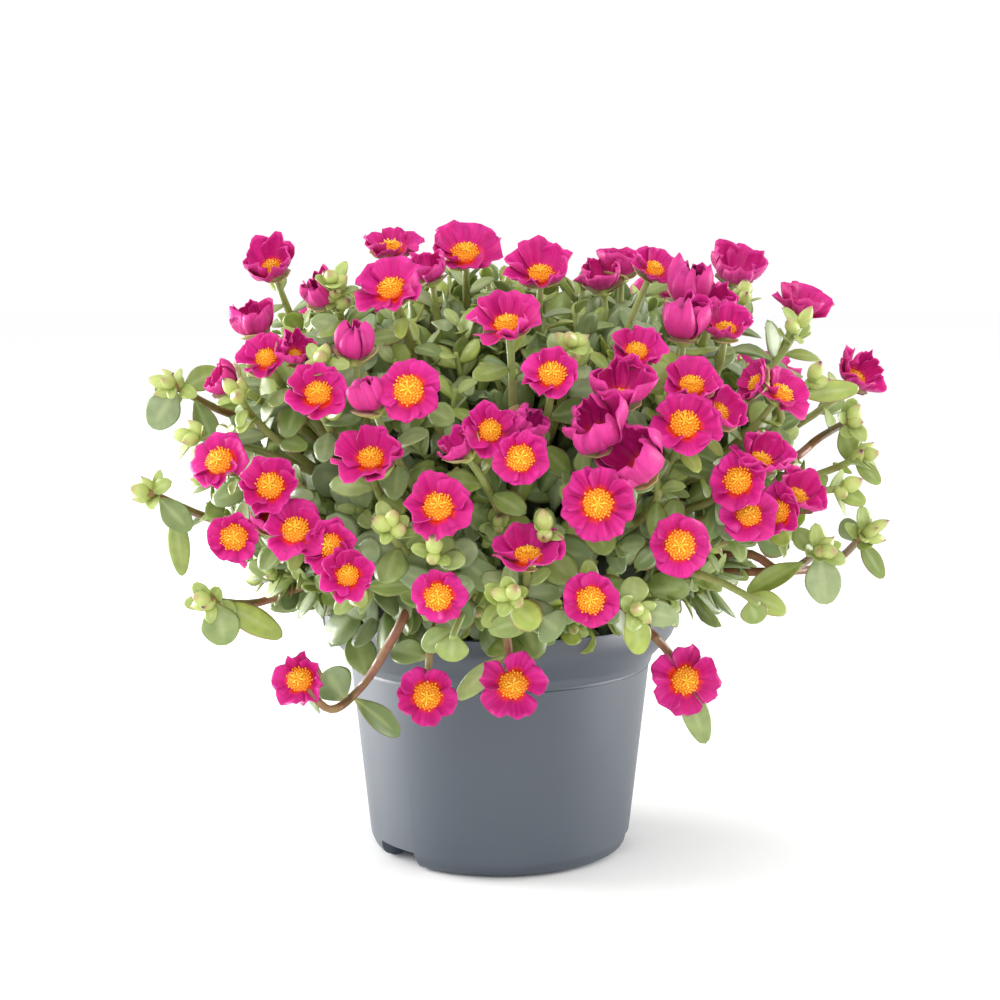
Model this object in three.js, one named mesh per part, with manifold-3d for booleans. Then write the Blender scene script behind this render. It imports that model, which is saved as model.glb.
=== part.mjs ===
// A potted portulaca in full flower: a plastic nursery pot, its soil, the
// succulent clumps that grow from it and the cup-shaped blooms they carry.
// Millimetres, +Z up. The origin is the centre of the pot's foot on the
// ground and the front of the plant faces -Y.

import * as THREE from "three";
import { mergeVertices } from "three/addons/utils/BufferGeometryUtils.js";
import Module from "manifold-3d";

const wasm = await Module();
wasm.setup();

// ---------------------------------------------------------------- sizes

const touchGap = 0.3;
const hairs = [0.003, 0.006, 0.0015, 0.012, 0.02];
const fineHair = 0.0005;

const pot = {
  sides: 24,
  height: 104,
  footRadius: 49,
  footInset: 45,
  cornerRadius: 55.5,
  cornerHeight: 6,
  neckRadius: 63.8,
  neckHeight: 81.5,
  bandRadius: 65.2,
  bandHeight: 85,
  rimRadius: 74.5,
  flareHeight: 95,
  wall: 1.4,
  floorRise: 3.5,
  notchDepth: 11,
  notchHeight: 8,
  notchTurns: [[207, 230], [343, 366], [91, 114]],
  drainRadius: 3,
  drainRing: 26,
  drains: 4,
};

const soil = { top: 93, crown: 95.5 };

// The plant's outer form: a dome that is full in the shoulder, tucked in
// under its skirt, and slightly wider than it is deep.
const dome = { reach: 158, depth: 146, middle: 160, crown: 103, skirt: 80, fullness: 2.6 };

// Blooms and shoots are placed on a sighting sheet, which stands square to
// the line of sight of an eye in front of the plant. Each then comes to rest
// where its sight line meets the dome.
const sight = { back: 900, high: 280, down: 8.27, sheet: 902 };

const clumps = { count: 10, ring: 31, radius: 3.6, foot: 78, top: 113 };

// Each clump's dense inside, which its stems and leaves stand out of: heights
// with the share of the dome's width there, and how far it closes in towards
// its neighbours, in degrees and as a share.
const core = {
  axis: 3,
  bottom: 107,
  top: 234,
  profile: [[107, 0.55], [120, 0.65], [158, 0.73], [196, 0.67], [221, 0.46], [231, 0.2]],
  face: 10,
  side: 16.6,
  drawnIn: 0.88,
  lumps: 0.05,
};
const stem = {
  sides: 3,
  taper: 5,
  start: 2.6,
  tip: 1.35,
  step: 34,
  turn: 50,
  bend: 7,
  forks: [0.24, 0.34, 0.44, 0.54, 0.64, 0.74],
};
const petal = { valley: 0.72, thick: 1.3, lap: 0.45, calyx: 1 };
const eyeBoss = { ring: 0.4, rise: 3.2 };
const leaf = { thick: 1.9, half: 0.23, middle: 0.5, belly: 0.64, shoulder: 0.97, arch: 1.2 };
const leafCounts = { bloom: 1, bud: 2 };
const coreLeaves = { count: 400, high: 229, low: 124, edge: 14, sunk: 6 };
const skirtLeaves = { count: 44, high: 118, low: 112, edge: 12, sunk: 6 };
const bud = { length: 10.5, radius: 3.2, sides: 3, lean: 1.1, sunk: 1.2, apart: 2.4 };

// ------------------------------------------------------------ survey

// Blooms: across, rise and width in mm on the sheet; turn to the right and
// tilt up in degrees (0, 0 looks straight out, tilt 90 looks up); how far
// open (0 a ball, 1 flat); and how far it stands out of the dome in mm.
const surveyedBlooms = [
  [-96.5, 100, 22, -10, 42, 0.55, 0],
  [-46, 106, 25, 0, 68, 0.8, -55],
  [-14.5, 104, 31.5, 0, 50, 0.85, -25],
  [-46, 89.5, 29.5, -18, 42, 0.75, 0],
  [17, 96.5, 29.5, 0, 55, 0.7, -8],
  [51, 100, 19, 0, 80, 0.5, -42],
  [65, 97.5, 20, 25, 45, 0.7, 0],
  [80, 91, 21, 10, 75, 0.25, 0],
  [99.5, 98, 21.5, 15, 60, 0.5, -30],
  [127, 82.5, 23, 40, 65, 0.6, 0],
  [3, 75, 29, -10, 55, 0.7, 4],
  [77.5, 77, 20.5, 0, 70, 0.2, 2],
  [95, 73.5, 23, 0, 58, 0.6, 2],
  [-103.5, 75, 17.5, -20, 70, 0.45, -8],
  [-75, 88, 15, -30, 40, 0.3, -6],
  [-98.5, 60, 21, -10, 35, 0.7, 4],
  [-86, 63, 16, 12, 45, 0.5, 0],
  [-76.5, 45, 26, 0, 38, 0.75, 5],
  [-61, 67, 17, 0, 70, 0.1, 2],
  [-38, 46, 28, -10, 14, 1, 6],
  [-55.5, 44, 16, -40, 60, 0.3, 4],
  [-115.5, 50.5, 15, -60, 30, 0.5, -8],
  [22, 52.5, 25, 0, 35, 0.85, 6],
  [57.5, 63, 22, 0, 45, 0.7, 0],
  [50.5, 47.5, 25, 0, 55, 0.5, 2],
  [80.5, 49, 25, 0, 50, 0.7, 0],
  [77.5, 31.5, 32, 0, 38, 0.9, 6],
  [93, 38, 22, 30, 35, 0.6, 0],
  [107, 49.5, 19, -70, 30, 0.7, -3],
  [119, 45.5, 24, 40, 48, 0.7, 2],
  [150, 54.5, 19, 30, 40, 0.7, 0],
  [-4, 29.5, 23.5, 10, 25, 0.7, -4],
  [-17, 23, 16, -50, 50, 0.5, -4],
  [12, 33, 16, 30, 40, 0.4, -8],
  [8.5, 17.5, 24.5, 0, 14, 0.9, 8],
  [40, 31, 25, -20, 40, 0.35, 3],
  [56.5, 17.5, 27.5, -35, 30, 0.4, 4],
  [41, -1.5, 33, 0, 8, 1, 10],
  [-54.5, 19, 28.5, 0, 45, 0.65, 2],
  [-117.5, 16, 26, -20, 30, 0.85, 0],
  [-96.5, 6, 26, 0, 25, 0.8, 3],
  [-96, -6, 15, 10, 30, 0.3, -4],
  [-111.5, -15.5, 24, 0, 5, 0.95, 6],
  [-86, -12.5, 26, 0, 38, 0.8, 4],
  [-71.5, -19, 23, -20, 15, 0.75, 2],
  [-64, -31.5, 23, 0, 30, 0.7, 8],
  [-26, -3, 30, 0, 35, 0.85, 4],
  [11.5, -22, 33, 0, 68, 0.75, 2],
  [-26, -40.5, 24.5, 0, 5, 1, 6],
  [38, -42, 25, 0, 10, 0.95, 6],
  [75.5, -19, 28, 0, 10, 1, 6],
  [100, 8, 25, -10, 20, 0.85, 4],
  [110, 18.5, 25, 20, 58, 0.6, 3],
  [104.5, -6, 23.5, 0, 20, 0.8, 5],
  [116.5, -5, 23, -10, 25, 0.75, 8],
  [125.5, 3, 24, 30, 50, 0.6, 6],
  [-84, -75.5, 23, -10, 25, 0.85, 12],
  [-30.5, -82, 27.5, 0, 5, 1, 14],
  [5.5, -77.5, 31, 0, 10, 1, 6],
  [77.5, -75.5, 31.5, 10, 5, 1, 12],
  [90, 82, 17, 20, 60, 0.4, -4],
  [43, 94, 18, -20, 70, 0.5, -49],
  [-30, 97, 16, -20, 60, 0.5, -26],
];

// Petal counts that differ from the usual five, by place in the list above.
const petalCounts = new Map([[1, 6], [4, 6], [10, 6], [37, 8], [59, 6], [30, 6]]);

// Shoots that end in buds and leaves: across, rise, turn, tilt, number of
// buds, stand.
const surveyedShoots = [
  [-138.5, 49, -70, 25, 5, 0],
  [-111, 45, -30, 50, 3, 0],
  [-130, 27, -70, 10, 3, 0],
  [-148, 3.5, -70, 25, 3, 0],
  [-122, -42, -60, 0, 4, 0],
  [131, 51, 50, 45, 2, 0],
  [147, 33.5, 60, 40, 2, 0],
  [153, 19, 60, 30, 3, 0],
  [144.5, 5, 60, 10, 2, 0],
  [154, -13, 65, 20, 4, 0],
  [135, -21, 40, 20, 4, 4],
  [4.5, -40, 0, 20, 3, 12],
  [-62, 91, 10, 50, 3, -20],
  [30.5, 66, 0, 40, 4, 4],
  [108.5, -44, 30, -20, 0, 0],
  [-75.5, 59, 0, 40, 3, 4],
  [-46, -10, 0, 40, 3, 4],
  [-27, -21.5, 0, 30, 2, 4],
  [19.5, -12, 0, 40, 2, 0],
  [103, 86, 20, 60, 2, -20],
  [126, 73, 30, 50, 2, 0],
  [17, -50, 0, 0, 0, 4],
  [-20, -58, -10, -20, 0, 4],
  [58, -46, 10, 10, 2, 4],
];

// Blooms that hang before the pot, by place in the list, with the points
// that their stems pass through on the way down: across, rise, stand.
const hanging = new Map([
  [56, [[-45, -58, -40], [-57, -77, -6], [-71, -88, 2]]],
  [57, [[-28, -56, -46]]],
  [58, [[2, -50, -49]]],
  [59, [[58, -51, -61], [70, -63, -36]]],
]);

// The back of the plant is not on the sheet: its blooms stand in pairs, on
// even rounds of the dome between these turns, from the crown down.
const backPairs = {
  count: 12, from: 26, to: 154, high: 240, low: 118,
  reach: 0.9, // of the dome's reach, and so much further again straight back
  further: 1.17,
  wide: 26, apart: 20,
};

// ------------------------------------------------------------ helpers

const degrees = THREE.MathUtils.degToRad;
const upright = new THREE.Vector3(0, 0, 1);

// A repeatable draw from 0 to 1.
function draw(key, salt) {
  const wave = Math.sin(key * 12.9898 + salt * 78.233) * 43758.5453;
  return wave - Math.floor(wave);
}

function spread(key, salt, from, to) {
  return from + (to - from) * draw(key, salt);
}

function solidFromTriangles(positions, triangles) {
  const mesh = new wasm.Mesh({
    numProp: 3,
    vertProperties: Float32Array.from(positions),
    triVerts: Uint32Array.from(triangles),
  });
  return new wasm.Manifold(mesh);
}

function solidFromGeometry(geometry) {
  geometry.deleteAttribute("normal");
  geometry.deleteAttribute("uv");
  const merged = mergeVertices(geometry, 1e-4);
  return solidFromTriangles(merged.attributes.position.array, merged.index.array);
}

// A closed solid through rings of points, listed upwards and each counter-
// clockwise. A ring of one point closes an end, and a ring may have a whole
// number of times its neighbour's points.
function ringSolid(rings) {
  const triangles = [];
  let first = 0;
  for (let level = 0; level + 1 < rings.length; level += 1) {
    const below = rings[level].length;
    const above = rings[level + 1].length;
    const second = first + below;
    const coarse = Math.min(below, above);
    const share = Math.max(below, above) / coarse;
    for (let j = 0; j < coarse; j += 1) {
      const next = (j + 1) % coarse;
      const last = (share * (j + 1)) % (share * coarse);
      for (let i = 0; i < share; i += 1) {
        const fine = share * j + i;
        const after = (fine + 1) % (share * coarse);
        if (below <= above) {
          triangles.push(first + j, second + after, second + fine);
        } else {
          triangles.push(second + j, first + fine, first + after);
        }
      }
      if (coarse > 1 && below <= above) {
        triangles.push(first + j, first + next, second + last);
      } else if (coarse > 1) {
        triangles.push(second + j, first + last, second + next);
      }
    }
    first = second;
  }
  const positions = rings.flat().flatMap((point) => point.toArray());
  return solidFromTriangles(positions, triangles);
}

function largestBody(solid) {
  const bodies = solid.decompose();
  bodies.sort((a, b) => b.volume() - a.volume());
  return bodies[0];
}

// The solid's triangles with points closer together than a hair made one, and
// without what folds flat by that.
function welded(solid, hair) {
  const { vertProperties, triVerts } = solid.getMesh();
  const points = [];
  for (let i = 0; i < vertProperties.length; i += 3) {
    points.push(new THREE.Vector3().fromArray(vertProperties, i));
  }
  const kept = [];
  points.forEach((point, i) => {
    const same = points.findIndex((other) => other.distanceTo(point) < hair);
    kept.push(same === i ? i : kept[same]);
  });
  const triangles = new Map();
  for (let i = 0; i < triVerts.length; i += 3) {
    const corners = [...triVerts.slice(i, i + 3)].map((corner) => kept[corner]);
    const name = [...corners].sort().join();
    if (triangles.has(name)) {
      triangles.delete(name);
    } else if (new Set(corners).size === 3) {
      triangles.set(name, corners);
    }
  }
  return { positions: vertProperties, triangles: [...triangles.values()].flat() };
}

// Whether each edge still joins just two triangles once points are rounded.
function isTight(solid) {
  const { triangles } = welded(solid, fineHair);
  const edges = new Set(triangles.map((corner, i) => {
    const next = i % 3 === 2 ? i - 2 : i + 1;
    return `${corner} ${triangles[next]}`;
  }));
  return edges.size === triangles.length;
}

// The solid's largest body, welded by the first hair that keeps it tight, so
// that rounding can't part it or open it.
function cleaned(solid) {
  for (const hair of hairs) {
    const { positions, triangles } = welded(solid, hair);
    const body = largestBody(solidFromTriangles(positions, triangles));
    if (isTight(body)) {
      return body;
    }
  }
  throw new Error("a body stays pinched");
}

function boxesApart(a, b) {
  return [0, 1, 2].some((axis) => a.min[axis] > b.max[axis] || b.min[axis] > a.max[axis]);
}

function entry(solid, owner) {
  return { solid, owner, box: solid.boundingBox() };
}

function isClear(solid, others) {
  const box = solid.boundingBox();
  return others.every((other) => boxesApart(box, other.box) || solid.intersect(other.solid).isEmpty());
}

function frameFrom(direction, roll) {
  const side = new THREE.Vector3().crossVectors(upright, direction);
  if (side.length() < 0.05) {
    side.set(1, 0, 0);
  }
  side.normalize();
  const lift = new THREE.Vector3().crossVectors(direction, side);
  const x = side.clone().multiplyScalar(Math.cos(roll)).addScaledVector(lift, Math.sin(roll));
  const y = new THREE.Vector3().crossVectors(direction, x);
  return new THREE.Matrix4().makeBasis(x, y, direction);
}

// ------------------------------------------------------------ placing

const eye = new THREE.Vector3(0, -sight.back, sight.high);
const pitch = degrees(sight.down);

function sightLine(across, rise) {
  const line = new THREE.Vector3(
    across,
    sight.sheet * Math.cos(pitch) + rise * Math.sin(pitch),
    rise * Math.cos(pitch) - sight.sheet * Math.sin(pitch),
  );
  return line.normalize();
}

function domeLevel(point) {
  const round = Math.hypot(point.x / dome.reach, point.y / dome.depth);
  const height = point.z - dome.middle;
  const tall = Math.abs(height) / (height > 0 ? dome.crown : dome.skirt);
  return round ** dome.fullness + tall ** dome.fullness;
}

// Where the sight line first meets the dome, or passes closest to it.
function onDome(across, rise, stand) {
  const line = sightLine(across, rise);
  let best = Infinity;
  let reached = 0;
  for (let away = sight.back - 200; away < sight.back + 60; away += 1) {
    const level = domeLevel(eye.clone().addScaledVector(line, away));
    if (level < best) {
      best = level;
      reached = away;
    }
    if (level < 1) {
      break;
    }
  }
  return eye.clone().addScaledVector(line, reached - stand);
}

function aimed(turn, tilt) {
  const flat = Math.cos(degrees(tilt));
  return new THREE.Vector3(
    flat * Math.sin(degrees(turn)),
    -flat * Math.cos(degrees(turn)),
    Math.sin(degrees(tilt)),
  );
}

// A point of the dome at a turn round the pot (0 is +X) and a height.
function domePoint(turn, height, inset) {
  const rise = height - dome.middle;
  const tall = Math.abs(rise) / (rise > 0 ? dome.crown : dome.skirt);
  const round = inset * Math.max(0, 1 - tall ** dome.fullness) ** (1 / dome.fullness);
  return new THREE.Vector3(
    round * dome.reach * Math.cos(degrees(turn)),
    round * dome.depth * Math.sin(degrees(turn)),
    height,
  );
}

function domeOutward(point) {
  const outward = new THREE.Vector3(
    point.x / dome.reach,
    point.y / dome.depth,
    0.75 * (point.z - dome.middle) / dome.crown + 0.25,
  );
  return outward.normalize();
}

// ------------------------------------------------------------ blooms

// A petal is an arc that leaves the calyx at one angle from the bloom's axis
// and ends at another: an open bloom's spreads, a closed one's curls in.
function petalArc(open) {
  const start = degrees(75 - 25 * open);
  const end = degrees(-35 + 130 * open);
  const widest = (Math.cos(start) - Math.cos(Math.max(end, 0))) / (end - start);
  return { start, end, widest };
}

function arcPoint(bloom, share, outside) {
  const { start, end } = bloom.arc;
  const angle = start + (end - start) * share;
  const scale = bloom.petalLength / (end - start);
  return {
    radius: scale * (Math.cos(start) - Math.cos(angle)) + outside * Math.cos(angle),
    height: scale * (Math.sin(angle) - Math.sin(start)) - outside * Math.sin(angle) + petal.calyx,
  };
}

function bloomRing(bloom, count, place) {
  const ring = [];
  for (let i = 0; i < count; i += 1) {
    const spot = place(i);
    const { radius, height } = arcPoint(bloom, spot.share, spot.outside);
    const angle = 2 * Math.PI * spot.turn / bloom.petals;
    ring.push(new THREE.Vector3(radius * Math.cos(angle), radius * Math.sin(angle), height));
  }
  return ring;
}

function bloomSolid(bloom) {
  const rim = [
    { turn: -0.5, share: petal.valley, outside: 0 },
    { turn: -0.2, share: 1, outside: petal.lap },
    { turn: 0.2, share: 1, outside: -petal.lap },
  ];
  const { petals } = bloom;
  const centre = arcPoint(bloom, eyeBoss.ring, 0).height;
  const cupped = bloom.arc.end < bloom.arc.start;
  const rings = [
    [new THREE.Vector3(0, 0, 0)],
    ...(cupped ? [bloomRing(bloom, petals, (i) => ({ turn: i, share: 0.55, outside: petal.thick }))] : []),
    bloomRing(bloom, 3 * petals, (i) => ({ ...rim[i % 3], turn: rim[i % 3].turn + Math.floor(i / 3) })),
    bloomRing(bloom, petals, (i) => ({ turn: i, share: eyeBoss.ring, outside: 0 })),
    [new THREE.Vector3(0, 0, centre + eyeBoss.rise)],
  ];
  const pose = frameFrom(bloom.aim, bloom.roll).setPosition(bloom.base);
  return ringSolid(rings.map((ring) => ring.map((point) => point.applyMatrix4(pose))));
}

function makeBloom(centre, aim, wide, open, petals, key) {
  const arc = petalArc(open);
  const bloom = { aim, wide, open, petals, key, arc };
  bloom.petalLength = wide / 2 / arc.widest;
  bloom.roll = spread(key, 1, 0, 2 * Math.PI);
  bloom.centre = centre;
  bloom.base = centre.clone().addScaledVector(aim, -0.5 * arcPoint(bloom, 1, 0).height);
  bloom.solid = bloomSolid(bloom);
  return bloom;
}

function allBlooms() {
  const blooms = surveyedBlooms.map(([across, rise, wide, turn, tilt, open, stand], key) => {
    const petals = petalCounts.get(key) ?? 5;
    return makeBloom(onDome(across, rise, stand), aimed(turn, tilt), wide, open, petals, key);
  });
  for (let pair = 0; pair < backPairs.count; pair += 1) {
    const share = (0.5 + pair) / backPairs.count;
    const height = backPairs.high + (backPairs.low - backPairs.high) * share ** 0.8;
    const turn = backPairs.from + (backPairs.to - backPairs.from) * ((0.18 + pair * 0.618) % 1);
    const middle = domePoint(turn, height, backPairs.reach);
    middle.y *= backPairs.further;
    const aim = domeOutward(middle);
    const across = new THREE.Vector3().crossVectors(upright, aim).normalize();
    const slope = spread(pair, 7, -0.6, 0.6);
    across.addScaledVector(new THREE.Vector3().crossVectors(aim, across), slope).normalize();
    [-0.5, 0.5].forEach((half, twin) => {
      const key = surveyedBlooms.length + 2 * pair + twin;
      const place = middle.clone().addScaledVector(across, half * backPairs.apart);
      const wide = backPairs.wide * spread(key, 2, 0.86, 1.12);
      const open = spread(key, 3, 0.6, 1);
      const lean = aim.clone().addScaledVector(across, half * 0.3).normalize();
      blooms.push(makeBloom(place, lean, wide, open, draw(key, 4) < 0.25 ? 6 : 5, key));
    });
  }
  return blooms;
}

// Blooms whose petals press together are one body.
function gatherBlooms(blooms) {
  const heads = [];
  blooms.forEach((bloom) => {
    const touching = heads.filter((head) => !isClear(bloom.solid, [head]));
    const joined = touching.reduce((solid, head) => solid.add(head.solid), bloom.solid);
    const keys = [bloom.key, ...touching.flatMap((head) => head.keys)];
    touching.forEach((head) => heads.splice(heads.indexOf(head), 1));
    const solid = touching.length ? cleaned(joined) : joined;
    heads.push({ ...entry(solid, "bloom"), keys: keys.sort((a, b) => a - b) });
  });
  return heads;
}

// ------------------------------------------------------------ pot and soil

// A block that takes one drainage notch out of the foot: everything beyond
// the notch's depth, between two turns, up to its height.
function notchSolid([from, to], extra) {
  const inner = pot.cornerRadius - pot.notchDepth - extra;
  const outer = pot.cornerRadius + 10;
  const margin = THREE.MathUtils.radToDeg(extra / pot.cornerRadius);
  const shape = new THREE.Shape();
  const start = degrees(from - margin);
  const end = degrees(to + margin);
  shape.moveTo(inner * Math.cos(start), inner * Math.sin(start));
  shape.lineTo(outer * Math.cos(start), outer * Math.sin(start));
  shape.lineTo(outer * Math.cos(0.5 * (start + end)) * 1.08, outer * Math.sin(0.5 * (start + end)) * 1.08);
  shape.lineTo(outer * Math.cos(end), outer * Math.sin(end));
  shape.lineTo(inner * Math.cos(end), inner * Math.sin(end));
  const geometry = new THREE.ExtrudeGeometry(shape, {
    depth: pot.notchHeight + extra + 2,
    bevelEnabled: false,
  });
  geometry.translate(0, 0, -2);
  return solidFromGeometry(geometry);
}

function turned(profile, sides) {
  const points = profile.map(([radius, height]) => new THREE.Vector2(radius, height));
  const geometry = new THREE.LatheGeometry(points, sides);
  geometry.rotateX(Math.PI / 2);
  return solidFromGeometry(geometry);
}

// The hollow inside the wall, filled up to a height, with a clearance.
function potHollow(clearance, top, crown, sides) {
  const inset = pot.wall + clearance;
  const floor = pot.floorRise + inset;
  const lowerSlope = (pot.neckRadius - pot.cornerRadius) / (pot.neckHeight - pot.cornerHeight);
  const floorRadius = pot.cornerRadius - inset - 3;
  const risen = floor + 4;
  return turned([
    [0, floor],
    [floorRadius, floor],
    [pot.cornerRadius + lowerSlope * (risen - pot.cornerHeight) - inset, risen],
    [pot.neckRadius - inset, pot.neckHeight + inset],
    [pot.bandRadius - inset, pot.bandHeight + inset],
    ...(top > pot.flareHeight + inset ? [[pot.rimRadius - inset, pot.flareHeight + inset]] : []),
    [hollowRadius(top) - inset, top],
    [0, crown],
  ], sides);
}

function hollowRadius(height) {
  const share = (height - pot.bandHeight - pot.wall) / (pot.flareHeight - pot.bandHeight);
  return pot.bandRadius + Math.min(1, share) * (pot.rimRadius - pot.bandRadius);
}

function potSolid() {
  const outer = turned([
    [0, pot.floorRise],
    [pot.footInset, pot.floorRise],
    [pot.footInset + 1, 0],
    [pot.footRadius, 0],
    [pot.footRadius + 4.5, 2],
    [pot.cornerRadius, pot.cornerHeight],
    [pot.neckRadius, pot.neckHeight],
    [pot.neckRadius + 0.8, pot.neckHeight + 0.6],
    [pot.bandRadius, pot.bandHeight],
    [pot.rimRadius, pot.flareHeight],
    [pot.rimRadius + 0.5, pot.height],
    [0, pot.height],
  ], pot.sides);
  const notches = pot.notchTurns.map((turns) => notchSolid(turns, 0));
  const pockets = pot.notchTurns.map((turns) => notchSolid(turns, pot.wall));
  const whole = potHollow(0, pot.height + 1, pot.height + 1, pot.sides);
  const hollow = pockets.reduce((solid, pocket) => solid.subtract(pocket), whole);
  let body = notches.reduce((solid, notch) => solid.subtract(notch), outer).subtract(hollow);
  for (let i = 0; i < pot.drains; i += 1) {
    const turn = degrees(45 + 360 * i / pot.drains);
    const drain = new THREE.CylinderGeometry(pot.drainRadius, pot.drainRadius, 20, 8);
    drain.rotateX(Math.PI / 2);
    drain.translate(pot.drainRing * Math.cos(turn), pot.drainRing * Math.sin(turn), 0);
    body = body.subtract(solidFromGeometry(drain));
  }
  return body;
}

// Each clump's root stands in a plain hole in the soil.
function rootPlace(clump) {
  const turn = degrees(360 * (clump + 0.5) / clumps.count);
  const ring = clumps.ring * spread(clump, 11, 0.8, 1.1);
  return new THREE.Vector3(ring * Math.cos(turn), ring * Math.sin(turn), clumps.foot);
}

function column(place, radius, from, to, sides) {
  const geometry = new THREE.CylinderGeometry(radius, radius, to - from, sides);
  geometry.rotateX(Math.PI / 2);
  geometry.translate(place.x, place.y, 0.5 * (from + to));
  return solidFromGeometry(geometry);
}

// The radius of a clump's core as a share of the dome's, at a height and at a
// number of degrees from its middle.
function coreShare(clump, height, aside) {
  const above = Math.max(1, core.profile.findIndex(([level]) => level >= height));
  const [low, high] = [above - 1, above].map((index) => {
    const [level, share] = core.profile[index];
    return { level, share: share * (1 + spread(10 * clump + index, 12, -core.lumps, core.lumps)) };
  });
  const risen = (height - low.level) / (high.level - low.level);
  const closing = Math.max(0, (Math.abs(aside) - core.face) / (core.side - core.face));
  return (low.share + (high.share - low.share) * risen) * (1 - (1 - core.drawnIn) * closing);
}

function corePoint(clump, height, aside) {
  const turn = degrees(360 * (clump + 0.5) / clumps.count + aside);
  const share = coreShare(clump, height, aside);
  return new THREE.Vector3(share * dome.reach * Math.cos(turn), share * dome.depth * Math.sin(turn), height);
}

function coreSolid(clump) {
  const middle = degrees(360 * (clump + 0.5) / clumps.count);
  const axis = (height, out) => new THREE.Vector3(out * Math.cos(middle), out * Math.sin(middle), height);
  const rings = core.profile.map(([height]) => [
    axis(height, core.axis),
    ...[-core.side, -core.face, core.face, core.side].map((aside) => corePoint(clump, height, aside)),
  ]);
  return ringSolid([[axis(core.bottom, 8 * core.axis)], ...rings, [axis(core.top, 3 * core.axis)]]);
}

function soilSolid() {
  let body = potHollow(touchGap, soil.top, soil.crown, pot.sides / 2);
  pot.notchTurns.forEach((turns) => {
    body = body.subtract(notchSolid(turns, pot.wall + touchGap));
  });
  for (let clump = 0; clump < clumps.count; clump += 1) {
    const place = rootPlace(clump);
    const hole = column(place, clumps.radius + 2 * touchGap, clumps.foot - touchGap, soil.crown + 5, 6);
    body = body.subtract(hole);
  }
  return body;
}

// ------------------------------------------------------------ shoots

function makeShoot(tip, aim, key, buds, kind) {
  const turn = (THREE.MathUtils.radToDeg(Math.atan2(tip.y, tip.x)) + 360) % 360;
  const clump = Math.floor(turn * clumps.count / 360);
  const root = rootPlace(clump).setZ(spread(key, 21, 98, clumps.top - 4));
  return { tip, aim, key, buds, kind, clump, root, forked: [] };
}

function allShoots(blooms) {
  const shoots = blooms.map((bloom) => {
    const tip = bloom.base.clone().addScaledVector(bloom.aim, -touchGap);
    return makeShoot(tip, bloom.aim, bloom.key, 0, "bloom");
  });
  surveyedShoots.forEach(([across, rise, turn, tilt, buds, stand], index) => {
    shoots.push(makeShoot(onDome(across, rise, stand), aimed(turn, tilt), 100 + index, buds, "bud"));
  });
  const reach = (shoot) => shoot.tip.distanceTo(shoot.root);
  return shoots.sort((a, b) => reach(b) - reach(a));
}

// The ways a stem may set out, best first: from its own root, or forking off
// a stem of the same clump that already grows, where that is shorter and does
// not turn back on it.
function startsOf(shoot, family) {
  const starts = [{ place: shoot.root, radius: stem.start, cost: shoot.root.distanceTo(shoot.tip) }];
  family.forEach((parent) => {
    stem.forks.filter((share) => !parent.forked.includes(share)).forEach((share) => {
      const { place, along, radius } = alongStem(parent, share);
      const way = shoot.tip.clone().sub(place);
      if (way.clone().normalize().dot(along) > 0.35 && way.length() > 12) {
        const slim = 0.85 * radius;
        starts.push({ place, radius: slim, along, parent, share, cost: way.length() });
      }
    });
  });
  return starts.sort((a, b) => a.cost - b.cost);
}

// A stem leaves its start along its parent, or upwards and outwards from its
// root, and comes to its tip along the tip's own aim. The bend's two numbers
// push it sideways and upwards.
function stemCurve(shoot, start, [sideways, upwards]) {
  const { tip, aim } = shoot;
  const { place } = start;
  const span = place.distanceTo(tip);
  const flat = new THREE.Vector3(tip.x - place.x, tip.y - place.y, 0).normalize();
  const side = new THREE.Vector3().crossVectors(upright, flat);
  const early = place.clone();
  if (start.along) {
    early.lerp(tip, 0.2).addScaledVector(start.along, 0.06 * span).addScaledVector(upright, 0.06 * span);
  } else {
    early.addScaledVector(upright, 0.3 * span).addScaledVector(flat, 0.12 * span);
  }
  const late = tip.clone().addScaledVector(aim, -0.32 * span);
  const bend = stem.bend * Math.min(1, span / 60);
  early.addScaledVector(side, bend * sideways).addScaledVector(upright, bend * upwards);
  late.addScaledVector(side, 0.6 * bend * sideways).addScaledVector(upright, 0.6 * bend * upwards);
  return new THREE.CubicBezierCurve3(place, early, late, tip);
}

// A hanging bloom's stem climbs over the rim and passes its own points.
function hangingCurve(shoot) {
  const points = hanging.get(shoot.key).map(([across, rise, stand]) => onDome(across, rise, stand));
  const over = shoot.root.clone().lerp(points[0], 0.55).setZ(pot.height + 17);
  return new THREE.CatmullRomCurve3([shoot.root, over, ...points, shoot.tip], false, "centripetal");
}

function stemRadius(shoot, share) {
  return shoot.radius + (stem.tip - shoot.radius) * share;
}

// The straight pieces that stand for a stem's curve: its places in turn, the
// way along each piece, and a direction square to each, carried from one to
// the next without twisting.
function stemLine(curve) {
  const tangents = curve.computeFrenetFrames(12, false).tangents;
  const turning = tangents.slice(1).reduce((sum, way, i) => sum + way.angleTo(tangents[i]), 0);
  const length = curve.getLength();
  const steps = Math.max(1, Math.ceil(length / stem.step), Math.ceil(turning / degrees(stem.turn)));
  const places = curve.getSpacedPoints(steps);
  const ways = places.slice(1).map((place, i) => place.clone().sub(places[i]).normalize());
  const across = new THREE.Vector3(1, 0.3, 0);
  const squares = [];
  ways.forEach((way, i) => {
    const square = new THREE.Vector3().crossVectors(way, across);
    if (i) {
      const onward = new THREE.Quaternion().setFromUnitVectors(ways[i - 1], way);
      square.copy(squares[i - 1]).applyQuaternion(onward);
    }
    squares.push(square.normalize());
  });
  return { length, steps, places, ways, squares };
}

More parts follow.
